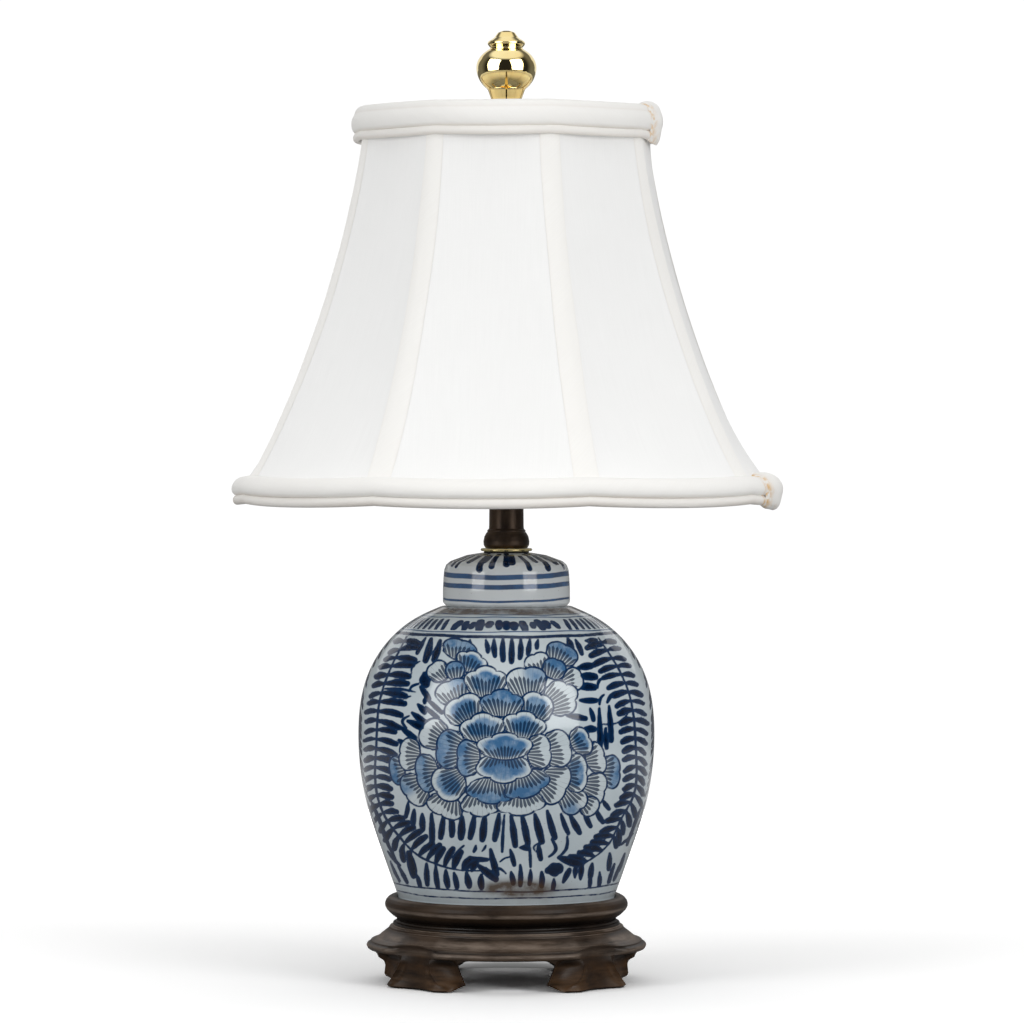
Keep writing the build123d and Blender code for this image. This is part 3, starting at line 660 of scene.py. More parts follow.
# %% Wood finish
dark_wood = new_finish("dark_wood", Roughness=0.42, Coat_Weight=0.05, Coat_Roughness=0.28,
                       Specular_IOR_Level=0.24)
tree = dark_wood.node_tree
grain = noise(tree, place(tree, (1.0, 1.0, 7.0)), 42.0, 6.0, 0.65)
pores = noise(tree, place(tree, (1.0, 1.0, 12.0)), 260.0, 2.0, 0.5)
cloud = noise(tree, place(tree), 34.0, 5.0, 0.62)
foot = span(tree, height_in(tree), 0.013, 0.02, 1, 0)
stain = blend_colours(tree, foot, colour(52, 38, 26), colour(60, 39, 19))
stain = blend_colours(tree, span(tree, grain, 0.32, 0.68, 0, 1), colour(23, 14, 7), stain)
thin_stain = blend_colours(tree, foot, colour(70, 54, 40), colour(78, 52, 26))
stain = blend_colours(tree, span(tree, cloud, 0.42, 0.7, 0, 0.65), stain, thin_stain)
# Rubbed wear and painted highlights: the pale tone where the wear-and-highlight field is high.
rub_and_highlight = sums(tree, "MULTIPLY", field(tree, "wear_and_highlight"), span(tree, grain, 0.36, 0.62, 0.3, 1.1), clamp=True)
worn_and_highlit = blend_colours(tree, foot, colour(130, 116, 104), colour(112, 86, 62))
stain = blend_colours(tree, span(tree, rub_and_highlight, 0.06, 0.8, 0, 0.9), stain, worn_and_highlit)
# Painted shade and grime: near black where the shade-and-grime field is high.
grime = sums(tree, "MULTIPLY", field(tree, "grime"), span(tree, cloud, 0.3, 0.65, 1.0, 0.72), clamp=True)
stain = blend_colours(tree, grime, stain, colour(15, 10, 8))
shade_with(dark_wood, stain, span(tree, grain, 0.3, 0.7, 0.36, 0.54),
           sums(tree, "MULTIPLY_ADD", pores, 0.4, grain), 0.00025, 0.5)
stand = surface("stand_frame_carved", frame_points, True, True, flip=True, crease=48,
                fields={"wear_and_highlight": stand_wear_and_highlight, "grime": shade_and_dirt})
fit(stand, "base", "dark_wood", dark_wood, "stand_frame")

# %% [markdown]
# ## Turned collar
# Above the frame sits a turned ring: a coved waist and a fat bead that hides the jar's foot. It is a plain
# lathe piece, so its outline is carried once round the axis, with each corner eased.

# %% Collar
bead_side = [(61.4, 35.2), (63.3, 36.5), (65.0, 38.0), (66.4, 39.5), (67.3, 41.2), (67.4, 42.6), (66.9, 44.3),
             (65.6, 45.9), (63.8, 46.9)]
collar_foot, collar_seat = [(40, frame_top), (59.9, frame_top), (60.0, 34.6)], [(60.8, 40.6), (40, 40.5)]
collar_outline = bent_line(collar_foot + bead_side + [(60.9, 46.7), (60.6, 45.0)] + collar_seat
                           + collar_foot[:1], 1.0, 0.6)
collar_points = turned(collar_outline, 220)
turn = np.arctan2(collar_points[..., 0], -collar_points[..., 1])
collar_z = collar_points[..., 2].copy()
collar_points[..., 2] += 0.12 * np.sin(3 * turn + 0.6) * ease(36, 44, collar_z)
# Painted highlight: a pale line along the bead's lower edge, counted with its wear; painted shade darkens the
# coved waist towards the frame.
worn_and_highlit_edge = 0.95 * hill(collar_z, 40.6, 0.9) + 0.3 * hill(collar_z, 46.4, 0.8)
collar = surface("stand_collar_turned", collar_points, False, True, crease=45,
                 fields={"wear_and_highlight": worn_and_highlit_edge, "grime": ease(38.6, 36.2, collar_z)})
fit(collar, "base", "dark_wood", dark_wood, "stand_collar")

# %% [markdown]
# ## Spline
# A long curve, such as the jar's side or the stem of a fern, is drawn through a few measured points. A
# spline bends as a thin batten of wood does when it is held at such points.


# %% Spline
def spline(points, count):
    """Natural cubic spline through points, evenly spaced by chord. The bend at each point is solved for, so
    that slope and bend run on from piece to piece and the ends are straight."""
    points = np.array(points, float)
    along = np.concatenate([[0], np.cumsum(np.linalg.norm(np.diff(points, axis=0), axis=1))])
    gap = np.diff(along)
    size = len(points)
    system, target = np.eye(size), np.zeros_like(points)
    inner = np.arange(1, size - 1)
    system[inner, inner - 1], system[inner, inner + 1] = gap[:-1], gap[1:]
    system[inner, inner] = 2 * (gap[:-1] + gap[1:])
    slope = np.diff(points, axis=0) / gap[:, None]
    target[1:-1] = 6 * np.diff(slope, axis=0)
    curve = np.linalg.solve(system, target)
    stop = np.linspace(0, along[-1], count)
    part = np.clip(np.searchsorted(along, stop, "right") - 1, 0, size - 2)
    h, near, far = gap[part, None], (along[part + 1] - stop)[:, None], (stop - along[part])[:, None]
    return (curve[part] * near ** 3 / (6 * h) + curve[part + 1] * far ** 3 / (6 * h)
            + (points[part] / h - curve[part] * h / 6) * near
            + (points[part + 1] / h - curve[part + 1] * h / 6) * far)


print("spline ready")

# %% [markdown]
# ## Porcelain jar
# A thrown jar is a turned form, so its side is one spline carried round the axis. The painting is what
# makes it: a peony among ferns in cobalt under a clear glaze. An image could carry it, but here the brush
# strokes are worked out as numbers on the mesh. Each point keeps its distance to the nearest stroke's edge,
# and the finish turns that distance to ink, so edges stay crisp between points. The jar is made as two
# halves, so that the grid can be fine and no mesh has more than 200,000 triangles.

# %% Jar outline
side_start, side_end = (60.2, 46.9), (36.3, 207.2)
jar_side = spline([side_start, (67.6, 67.7), (76.5, 94.4), (82.1, 137.5), (77.6, 167.5), (66.0, 187.5),
                   (50.2, 200.7), side_end], 262)
jar_foot = bent_line([(hole_r, 41.4), (58.8, 41.4), (59.6, 43.0), side_start], 0.8, 30.0, 4)[:-1]
jar_mouth = bent_line([side_end, (30.4, 207.4), (30.0, 209.0), (30.0, 222.0), (25.5, 222.0), (25.5, 203.5)],
                      1.0, 12.0, 3)[1:]
jar_inside = [(47.0, 194.0), (71.0, 165.0), (77.0, 135.0), (70.0, 90.0), (56.0, 52.0), (hole_r, 49.4)]
jar_outline = np.vstack([jar_foot, jar_side, jar_mouth, jar_inside])
print("jar outline", len(jar_outline), "points")

# %% [markdown]
# ## Strokes
# A stroke is the set of points nearer to a short bowed line than the brush is wide there: thin where the
# hair lands and lifts, fat between. A tendril is the same along a spline.


# %% Strokes
def brush(ink, x, z, start, end, thick, bow):
    """Distance to a stroke's edge: distance to the bowed line from start to end, less half its width."""
    start, end = np.array(start, float), np.array(end, float)
    low, high = np.minimum(start, end) - thick - 3, np.maximum(start, end) + thick + 3
    near = np.nonzero((x > low[0]) & (x < high[0]) & (z > low[1]) & (z < high[1]))[0]
    line = end - start
    length = np.hypot(*line)
    way = line / length
    gap_x, gap_z = x[near] - start[0], z[near] - start[1]
    along = np.clip((gap_x * way[0] + gap_z * way[1]) / length, 0, 1)
    sway = bow * 4 * along * (1 - along)
    gap_x = gap_x - along * line[0] + way[1] * sway
    gap_z = gap_z - along * line[1] - way[0] * sway
    half = 0.52 * thick * (0.2 + 0.8 * np.sin(np.pi * (0.1 + 0.64 * along)) ** 0.9)
    ink[near] = np.minimum(ink[near], np.hypot(gap_x, gap_z) - half)


def tendril(ink, x, z, points, thick):
    """Distance to a thin curl's edge: nearest of the spline's points, less half of the tapering width."""
    path = spline(points, 8 + int(np.abs(np.diff(np.array(points), axis=0)).sum() / 0.7))
    low, high = path.min(0) - 3, path.max(0) + 3
    near = np.nonzero((x > low[0]) & (x < high[0]) & (z > low[1]) & (z < high[1]))[0]
    far = np.hypot(x[near, None] - path[:, 0], z[near, None] - path[:, 1])
    half = thick / 2 * (0.55 + 0.45 * np.sin(np.pi * np.linspace(0.1, 0.95, len(path))))
    if len(near):
        ink[near] = np.minimum(ink[near], (far - half).min(1))


print("strokes ready")

# %% [markdown]
# ## Petals
# A petal is an ellipse with scallops on its outer side. It wipes what lies under it, is outlined, and may
# carry a wash of thin blue and a fan of hair lines.


# %% Petal
def petal(paint, x, z, centre_x, centre_z, wide, long, way, lobes, wash_kind, number):
    """Wipes, outlines, washes and hatches one petal. Wide and long are half sizes across and along its way
    out. The rim is an ellipse with scallops on its outer side, and the hair lines fan out from a point behind
    the petal."""
    line_half, hair_pitch = 0.54, 2.05
    reach = 1.25 * max(wide, long) + 3
    near = np.nonzero((np.abs(x - centre_x) < reach) & (np.abs(z - centre_z) < reach))[0]
    out = np.radians(way)
    gap_x, gap_z = x[near] - centre_x, z[near] - centre_z
    forth = gap_x * np.cos(out) + gap_z * np.sin(out)
    side = gap_z * np.cos(out) - gap_x * np.sin(out)
    t, q = forth / long, side / wide
    size = np.hypot(t, q) + 1e-6
    round_about = np.abs(np.arctan2(q, t))
    rim = 1 + 0.02 * np.sin(3 * round_about + number)
    if lobes > 1:
        ripple = np.abs(np.sin(np.pi * (round_about / 1.9 * lobes / 2 + 0.5 * (lobes % 2))))
        rim = rim + 0.24 * (ripple ** 0.5 - 0.78) * ease(2.1, 1.5, round_about)
    edge = (size - rim) * np.hypot(gap_x, gap_z) / size
    inside = ease(0.35, -0.35, edge)
    paint["ink"][near] = np.maximum(paint["ink"][near], -edge)
    tone = {0: 0.0, 1: ease(-0.9, -0.3, t) * ease(0.8, 0.6, size / rim),
            2: ease(-0.6, 0.25, t), 3: 0.8 * ease(-0.5, 0.2, t) * ease(0.35, -0.25, q),
            4: ease(0.95, 0.66, size / rim)}[wash_kind]
    paint["wash"][near] = paint["wash"][near] * (1 - inside) + inside * tone
    root = 1.6 * long + 4.0
    fan = np.arctan2(side, forth + root) * root / hair_pitch + 0.5 * (number % 2)
    ends = 0.02 + 0.36 * np.abs(np.sin(np.floor(fan) * 12.9898 + number * 4.1))
    ends = ends - 0.35 * (wash_kind == 4)
    hatch = ease(ends + 0.1, ends - 0.12, t) * ease(1.0, 0.88, size / rim)
    whole = edge < 0
    paint["fan"][near[whole]] = fan[whole]
    paint["hatch"][near] = np.where(whole, hatch, paint["hatch"][near] * ease(-0.2, 0.5, edge))
    paint["ink"][near] = np.minimum(paint["ink"][near], np.abs(edge) - line_half)


print("petal ready")

# %% [markdown]
# ## Leaves
# Places are millimetres as seen from straight in front: across from the axis, and up from the table. A leaf
# is one stroke, and its row gives the stroke's two ends and the brush's width.

# %% Leaves
leaves = [
    (-44.9, 189.5, -49.5, 181.2, 2.5), (-41.7, 189.0, -44.9, 177.1, 4.2), (-36.7, 188.1, -40.3, 177.5, 3.9),
    (-30.7, 189.0, -33.9, 183.0, 3.9), (-45.4, 169.7, -44.9, 164.1, 6.1), (-47.7, 162.4, -43.1, 155.9, 3.6),
    (-45.4, 156.4, -45.3, 153.6, 2.2), (-49.1, 152.7, -45.4, 148.1, 3.3), (-52.3, 148.1, -45.4, 143.1, 3.6),
    (-44.1, 155.8, -35.8, 148.1, 2.8), (-44.9, 151.4, -38.0, 145.3, 2.8), (-54.6, 143.5, -45.4, 138.9, 4.2),
    (-58.3, 139.8, -50.9, 134.3, 3.6), (-59.6, 132.9, -55.1, 129.8, 3.6), (34.1, 189.1, 36.3, 183.2, 3.9),
    (38.3, 188.6, 41.9, 180.9, 3.0), (44.1, 188.1, 49.6, 188.1, 3.3), (45.1, 183.2, 52.8, 185.4, 1.9),
    (40.1, 173.2, 46.9, 174.1, 4.4), (41.0, 168.6, 49.2, 168.1, 4.7), (39.1, 162.7, 48.7, 162.2, 4.7),
    (41.0, 154.9, 49.6, 154.9, 3.6), (46.5, 150.4, 48.3, 144.1, 3.0), (33.7, 146.4, 43.8, 144.9, 3.6),
    (43.8, 139.5, 48.7, 139.0, 4.2), (51.5, 150.4, 51.8, 123.1, 3.3), (56.9, 151.8, 58.3, 132.6, 3.3),
    (55.1, 139.5, 55.6, 128.6, 3.0), (-54.6, 98.1, -55.7, 90.4, 2.8), (-51.2, 94.1, -51.7, 86.2, 3.3),
    (-46.7, 91.8, -46.4, 83.3, 3.6), (-41.6, 91.8, -41.3, 74.9, 3.6), (-35.0, 90.7, -36.5, 78.8, 3.6),
    (-30.6, 90.7, -30.2, 80.0, 3.8), (-24.6, 90.2, -25.2, 78.8, 4.4), (-17.8, 91.3, -20.1, 78.8, 3.9),
    (-12.1, 91.3, -13.3, 77.7, 4.4), (-4.2, 91.8, -6.5, 77.7, 3.9), (-1.1, 91.3, -2.3, 70.9, 2.0),
    (2.6, 90.7, 4.9, 74.3, 4.0), (8.5, 91.3, 11.9, 75.4, 4.0), (12.8, 74.9, 13.4, 62.4, 1.9),
    (15.9, 91.3, 19.6, 76.5, 4.4), (22.7, 93.5, 26.9, 78.8, 3.9), (30.3, 91.8, 34.3, 81.1, 3.0),
    (35.4, 91.3, 40.5, 81.6, 3.9), (42.8, 93.5, 46.7, 85.1, 3.2), (49.6, 94.1, 53.5, 87.3, 3.3),
    (53.5, 99.3, 56.9, 94.7, 2.9), (2.1, 72.0, 4.3, 63.5, 2.9), (7.7, 73.2, 12.3, 72.6, 3.3),
    (17.9, 74.9, 19.0, 66.9, 3.3), (-30.2, 67.6, -23.6, 74.3, 1.3), (-16.9, 74.3, -18.0, 71.0, 2.2),
    (-13.6, 71.0, -11.4, 74.3, 1.4), (29.1, 67.6, 41.1, 64.1, 5.0), (31.5, 53.9, 34.9, 60.7, 3.3),
    (38.0, 56.6, 38.5, 62.1, 2.8), (41.1, 55.6, 41.6, 63.0, 3.3), (23.0, 60.4, 28.6, 61.5, 7.8),
    (-20.1, 67.5, -11.0, 66.4, 3.0), (-24.0, 60.7, -16.1, 65.8, 3.3), (-15.5, 63.0, -5.9, 55.6, 4.4),
    (-8.8, 72.1, -5.4, 58.4, 3.9), (-44.4, 64.1, -43.9, 52.8, 3.3), (-39.3, 63.0, -38.1, 51.1, 3.1),
    (-33.7, 60.2, -32.5, 51.7, 3.6), (-29.1, 59.0, -27.4, 51.1, 3.3), (-22.3, 59.0, -20.6, 51.7, 3.9),
    (-13.9, 57.9, -13.9, 51.1, 3.9), (2.6, 59.6, 3.8, 53.3, 3.3), (7.7, 63.5, 7.7, 52.2, 2.9),
    (13.4, 60.7, 12.8, 52.8, 2.8), (19.6, 59.6, 19.6, 51.7, 3.3), (26.3, 55.6, 25.8, 50.0, 2.8),
    (46.7, 58.4, 46.2, 51.7, 2.5), (51.8, 59.6, 51.3, 51.7, 2.5), (-11.4, 188.5, -10.3, 181.9, 2.8),
    (-6.9, 188.5, -6.4, 179.7, 3.3), (-1.9, 188.5, -1.9, 177.4, 3.6), (3.0, 188.5, 2.8, 176.3, 3.6),
    (8.0, 188.5, 7.5, 178.5, 3.3), (13.0, 188.5, 11.9, 180.8, 3.0), (17.5, 188.5, 16.9, 184.1, 2.8),
    (-24.7, 188.5, -24.7, 184.1, 2.8), (-20.2, 188.5, -19.7, 185.2, 2.5), (-75.9, 100.9, -67.5, 81.1, 1.6),
    (-74.2, 98.0, -65.2, 74.5, 1.9), (-69.9, 84.2, -61.5, 66.6, 2.0), (-65.9, 71.1, -59.3, 63.2, 2.2),
    (-64.4, 65.6, -59.3, 54.6, 1.8), (-60.2, 63.2, -55.1, 53.9, 2.4), (-57.8, 73.7, -57.0, 66.1, 3.6),
    (-54.6, 70.5, -51.4, 57.8, 5.0), (-49.9, 58.3, -47.9, 51.7, 2.6), (75.0, 95.8, 69.8, 83.3, 1.8),
    (73.4, 90.7, 66.8, 74.5, 1.8), (70.3, 81.0, 63.8, 75.0, 1.6), (65.8, 70.0, 62.3, 60.2, 2.0),
    (63.2, 64.2, 59.6, 55.0, 2.0), (60.0, 64.2, 56.8, 54.0, 2.4), (57.4, 70.0, 56.8, 61.2, 3.0),
    (47.6, 64.2, 46.5, 56.8, 3.4),
]
print(len(leaves), "leaves")

# %% [markdown]
# ## Tendrils
# Thin curls fill the ground between the leaves. A row gives the points that a curl passes, and its width.

# %% Tendrils
tendrils = [
    ([(-48.1, 176.6), (-52.3, 173.4), (-52.7, 169.7)], 1.4),
    ([(-67.4, 161.4), (-60.2, 161.4), (-50.5, 159.6)], 1.7),
    ([(-48.6, 164.2), (-52.7, 162.4), (-54.1, 160.0)], 1.7),
    ([(-53.2, 157.3), (-55.2, 156.8), (-56.8, 155.9)], 1.3),
    ([(-54.1, 146.3), (-57.8, 143.5), (-55.5, 139.8)], 1.7),
    ([(50.6, 161.8), (51.5, 165.9), (56.0, 168.1)], 1.9),
    ([(51.7, 152.7), (52.4, 156.4), (54.2, 158.1)], 1.8),
    ([(56.0, 153.9), (58.7, 158.1), (65.5, 159.5)], 2.6),
    ([(52.8, 141.8), (58.7, 141.8), (64.6, 144.2), (67.8, 148.6)], 1.3),
    ([(-3.6, 65.3), (-0.3, 67.5), (3.2, 68.1)], 1.2),
    ([(18.5, 76.0), (15.1, 73.2), (17.4, 69.8)], 1.1),
    ([(25.2, 77.7), (27.4, 72.1), (23.6, 68.1)], 2.2),
    ([(33.7, 79.4), (33.2, 72.6), (29.2, 68.1)], 2.0),
    ([(-11.4, 62.1), (-8.0, 59.9), (-4.7, 61.5), (-0.3, 58.8)], 1.7),
]
print(len(tendrils), "tendrils")

# %% [markdown]
# ## The peony
# A petal's row gives its middle, half width, half length, way out in degrees, scallops and kind of wash: 0
# bare, 1 a band inside a pale rim, 2 full to the rim, 3 one side only, 4 all but the rim. Outer petals come
# first, so that the inner ones lie over them.

# %% Peony
petals = [
    (-60.6, 116.1, 8.3, 4.2, 190, 1, 2), (57.9, 115.3, 9.4, 5.4, 0, 2, 2),
    (-53.8, 125.1, 9.1, 6.0, 175, 2, 0), (-50.8, 105.5, 9.8, 6.8, 215, 2, 3),
    (49.6, 122.9, 8.8, 5.7, 15, 2, 0), (48.9, 105.8, 9.4, 6.6, 345, 2, 0),
    (46.2, 96.1, 6.0, 4.8, 320, 1, 0), (36.8, 166.6, 6.6, 5.7, 20, 2, 0), (30.8, 180.7, 9.1, 6.0, 65, 2, 2),
    (-25.9, 183.1, 9.4, 6.0, 75, 2, 2), (-37.9, 171.0, 6.0, 6.0, 130, 2, 0),
    (-19.4, 176.2, 8.6, 6.0, 70, 3, 1), (-28.4, 171.6, 5.4, 5.1, 95, 1, 2),
    (17.2, 175.4, 7.2, 6.0, 110, 2, 0), (26.5, 172.5, 6.6, 5.7, 70, 2, 2),
    (30.0, 156.1, 9.7, 9.7, 30, 3, 0), (-29.6, 159.8, 9.7, 7.2, 110, 2, 3),
    (-33.9, 96.4, 10.3, 6.6, 245, 2, 0), (36.8, 99.5, 7.9, 7.5, 310, 2, 3),
    (41.3, 132.1, 8.2, 5.7, 25, 2, 1), (38.6, 114.6, 10.9, 6.6, 0, 2, 1),
    (-44.0, 114.6, 10.6, 6.6, 190, 2, 2), (-40.2, 136.1, 8.5, 8.2, 150, 2, 0),
    (-11.5, 165.1, 11.5, 8.8, 90, 3, 1), (11.1, 165.0, 11.2, 8.8, 95, 2, 3),
    (-23.6, 149.7, 10.9, 8.2, 115, 2, 1), (16.7, 151.2, 9.4, 8.2, 70, 2, 1),
    (-2.5, 153.1, 11.8, 7.5, 90, 3, 2), (-31.9, 109.0, 10.0, 9.4, 215, 2, 1),
    (26.5, 108.8, 11.5, 8.5, 335, 2, 0), (-14.5, 97.2, 10.6, 6.6, 268, 3, 0),
    (8.1, 97.9, 13.3, 6.6, 275, 3, 0), (28.0, 128.1, 10.6, 8.2, 10, 2, 0),
    (-31.1, 127.8, 10.9, 8.2, 175, 2, 2), (-13.0, 139.5, 12.4, 8.2, 95, 3, 1),
    (9.9, 140.8, 11.5, 7.9, 80, 3, 1), (-9.2, 104.6, 12.7, 6.9, 262, 3, 2),
    (11.1, 108.5, 13.0, 7.2, 290, 3, 2), (-21.2, 122.9, 10.3, 6.6, 180, 2, 2),
    (18.1, 126.6, 9.7, 6.9, 5, 2, 0), (-1.5, 117.6, 14.9, 8.2, 268, 3, 4),
    (-0.9, 129.3, 14.8, 7.5, 90, 3, 4),
]
print(len(petals), "petals")

# %% [markdown]
# ## Ferns
# A long fern frames the flower on each side and curls in below it, and a straight one grows between the two
# faces of the jar. Drawing each leaflet by hand isn't needed: they follow the stem at even steps, and their
# tilt changes smoothly from the shoulder to the tip. A fern's row gives its stem, the leaflets' tilts and
# lengths on its inner and outer side, the hand of its inner side and a seed for the brush's unevenness.

# %% Ferns
ferns = [
    ([(-55.2, 190.5), (-66, 168.5), (-70.6, 153), (-72.2, 130), (-72.6, 108), (-65.8, 87.7), (-59.7, 79.6),
      (-48.7, 68.6), (-38.4, 63.8), (-29.6, 61.2), (-12, 60.4)],
     ([-8, -4, -2, -10, -16, -14, 0, 32, 50, 64, 45], [-12, -10, -8, -8, -14, -25, -45, -75, -85, -86, -86]),
     ([8, 11, 13, 12, 10, 8.5, 7, 10, 10.5, 10.5, 0], [6, 6.3, 6.3, 6.3, 6.2, 6, 7, 8, 0, 0, 0]), 1, 3),
    ([(51.1, 189.6), (62.7, 171.5), (69.1, 154.6), (71.4, 136.7), (72.2, 118), (70.8, 103), (62.7, 87),
      (58.3, 77.4), (51.7, 70.1), (42.8, 64.2)],
     ([-17, -17, -12, -14, -18, -20, -22, -18, -17, 10, 18],
      [0, 0, -8, -15, -25, -35, -50, -80, -86, -86, -86]),
     ([9, 10, 9.5, 8, 7.5, 7, 6.5, 8, 9, 10, 10], [6.5, 7, 7, 7, 6.5, 6.5, 7, 8.5, 9, 0, 0]), -1, 5),
]
side_fern = ([(0.0, 193.0), (0.6, 160.0), (-0.6, 120.0), (0.0, 60.0)],
             [[-16, -20, -26, -40]] * 2, [[16, 20, 20, 16]] * 2, -1, 7)


def fern(ink, x, z, stem, tilts, lengths, hand, seed):
    """Stem along a spline with a leaflet to each side every 5.2 mm. Tilts and lengths come in pairs, inner
    side first, and run along the stem. A leaflet shorter than 3 mm is left out."""
    path = spline(stem, 260)
    tendril(ink, x, z, stem, 1.5)
    along = np.concatenate([[0], np.cumsum(np.linalg.norm(np.diff(path, axis=0), axis=1))])
    stops = np.arange(3.0, along[-1] - 1, 5.2)
    spots = np.stack([np.interp(stops, along, path[:, axis]) for axis in (0, 1)], -1)
    share = stops / along[-1]
    loose = np.random.default_rng(seed).normal(size=(len(stops), 2, 3))
    for side, tilt, long, thick in ((hand, tilts[0], lengths[0], 3.9), (-hand, tilts[1], lengths[1], 3.3)):
        angle = np.interp(share, np.linspace(0, 1, len(tilt)), tilt)
        size = np.interp(share, np.linspace(0, 1, len(long)), long)
        for spot, turn, reach, play in zip(spots, angle, size, loose[:, int(side > 0)]):
            way = np.radians(turn + 4 * play[0])
            tip = spot + reach * (1 + 0.06 * play[1]) * np.array([side * np.cos(way), np.sin(way)])
            if reach > 3:
                brush(ink, x, z, spot + (tip - spot) * 0.06, tip, thick + 0.3 * play[2], 0.5 * side)


print(len(ferns), "bent ferns on each face and one straight fern at each side")

# %% [markdown]
# ## Border
# Between two lines on the shoulder runs a border of short strokes. They are placed by their turn about the
# axis, because a border follows the form and goes on round the sides.


# %% Border
def border(ink, turn, r, z, steep):
    """Strokes between the shoulder's lines: upright bars, and bold leaning dabs in each face's middle."""
    low_line, middle_line, high_line = 195.7, 198.9, 202.4
    up = (z - middle_line) / np.maximum(steep, 0.3)
    inside = (z > low_line) & (z < high_line)
    bars = [(side * (0.68 + 0.088 * number), 0.22 * side, 4.2 + 0.5 * np.sin(2.1 * number), 3.5, 0.0)
            for number in range(11) for side in (-1, 1)]
    dabs = [(0.088 * number + 0.012 * np.sin(4.7 * number), 0.16 * np.sin(2.9 * number),
             2.6 + 1.1 * np.sin(3.7 * number), 5.3 + 0.7 * np.sin(1.7 * number), 0.7 * np.sin(5.3 * number))
            for number in range(-6, 7)]
    for middle, lean, long, thick, lift in bars + dabs:
        near = np.nonzero(inside & (np.abs(turn - middle) < 0.18))[0]
        rise = up[near] - lift
        high = np.clip(rise, -long, long)
        off = (turn[near] - middle) * r[near] - lean * high
        gap = np.hypot(off, rise - high) - thick / 2 * (1 - 0.25 * np.abs(high) / long)
        ink[near] = np.minimum(ink[near], np.maximum(gap, -0.4))


print("border ready")

# %% [markdown]
# ## The whole painting
# Everything in front is drawn as it is seen from the photo's place, so the strokes keep their places there.
# The lines and the border run round the jar. Dark lines go with the ink, and the finer blue ones have a
# field of their own. Iron stains lie at the foot and under the lid.


# %% Whole painting
no_ink = 3.0


def paint_half(turn, r, z):
    """The whole painting on points at a turn from the half's own front: one array per field. A point's seen
    place is where the eye's line through it meets the upright plane through the lamp's axis."""
    near_eye = eye_away / (eye_away - r * np.cos(turn))
    front, out_of_reach = np.abs(turn) < np.radians(76), 1e6
    x_seen = np.where(front, r * np.sin(turn) * near_eye, out_of_reach)
    z_seen = eye_height + (z - eye_height) * near_eye
    paint = {name: np.zeros(len(z)) for name in ("wash", "fan", "hatch", "rust")}
    ink, line = np.full(len(z), no_ink), np.full(len(z), no_ink)
    paint.update(ink=ink, line=line)
    for x0, z0, x1, z1, thick in leaves:
        brush(ink, x_seen, z_seen, (x0, z0), (x1, z1), thick, 0.25 * np.sin(x0))
    for points, thick in tendrils:
        tendril(ink, x_seen, z_seen, points, thick)
    for row in ferns:
        fern(ink, x_seen, z_seen, *row)
    for number, row in enumerate(petals):
        petal(paint, x_seen, z_seen, *row, number)
    side_r = 82.0
    beside = np.where(front, out_of_reach, (np.abs(turn) - np.pi / 2) * side_r)
    fern(ink, beside, z, *side_fern)
    rings = ((204.0, 0.5, False), (202.6, 0.5, False), (195.2, 0.6, False), (192.9, 1.6, True),
             (54.6, 0.9, True), (50.6, 0.8, True))
    rise = np.gradient(jar_side[:, 1]) / np.hypot(*np.gradient(jar_side, axis=0).T)
    steep = np.interp(z, jar_side[:, 1], rise)
    outer = (z > 47.5) & (z < 207.1)
    outside_field = ~(outer & (z > 55.4) & (z < 192.2))
    ink[outside_field] = no_ink
    paint["hatch"][outside_field] = 0
    paint["wash"][outside_field] = 0
    for height, thick, strong in rings:
        wander = height + 0.25 * np.sin(3 * turn + height) + 0.12 * np.sin(11 * turn + 2 * height)
        gap = (np.abs(z - wander) - thick / 2) / np.maximum(steep, 0.3)
        kept = ink if strong else line
        kept[:] = np.where(outer, np.minimum(kept, gap), kept)
    border(ink, turn, r, z, steep)
    low_stain = hill(x_seen, 7, 18) * hill(z_seen, 50.5, 4.2) * (z_seen < 61)
    high_stain = ease(203.2, 205.2, z) * (0.75 + 0.25 * np.sin(2 * turn + 1) * np.sin(5 * turn))
    paint["rust"] += np.clip(1.8 * low_stain + 1.6 * high_stain + 0.22 * ease(62, 47, z), 0, 1) * outer
    return paint


print("painting ready")

# %% [markdown]
# ## Glazed blue and white
# Cobalt pools: a stroke is darkest in its middle and paler at its edge, and thin washes break up into
# clouds. The body under the glaze is a cool grey white with a few iron specks. All of it lies under one
# clear gloss, so the roughness stays low everywhere and only wanders a little.


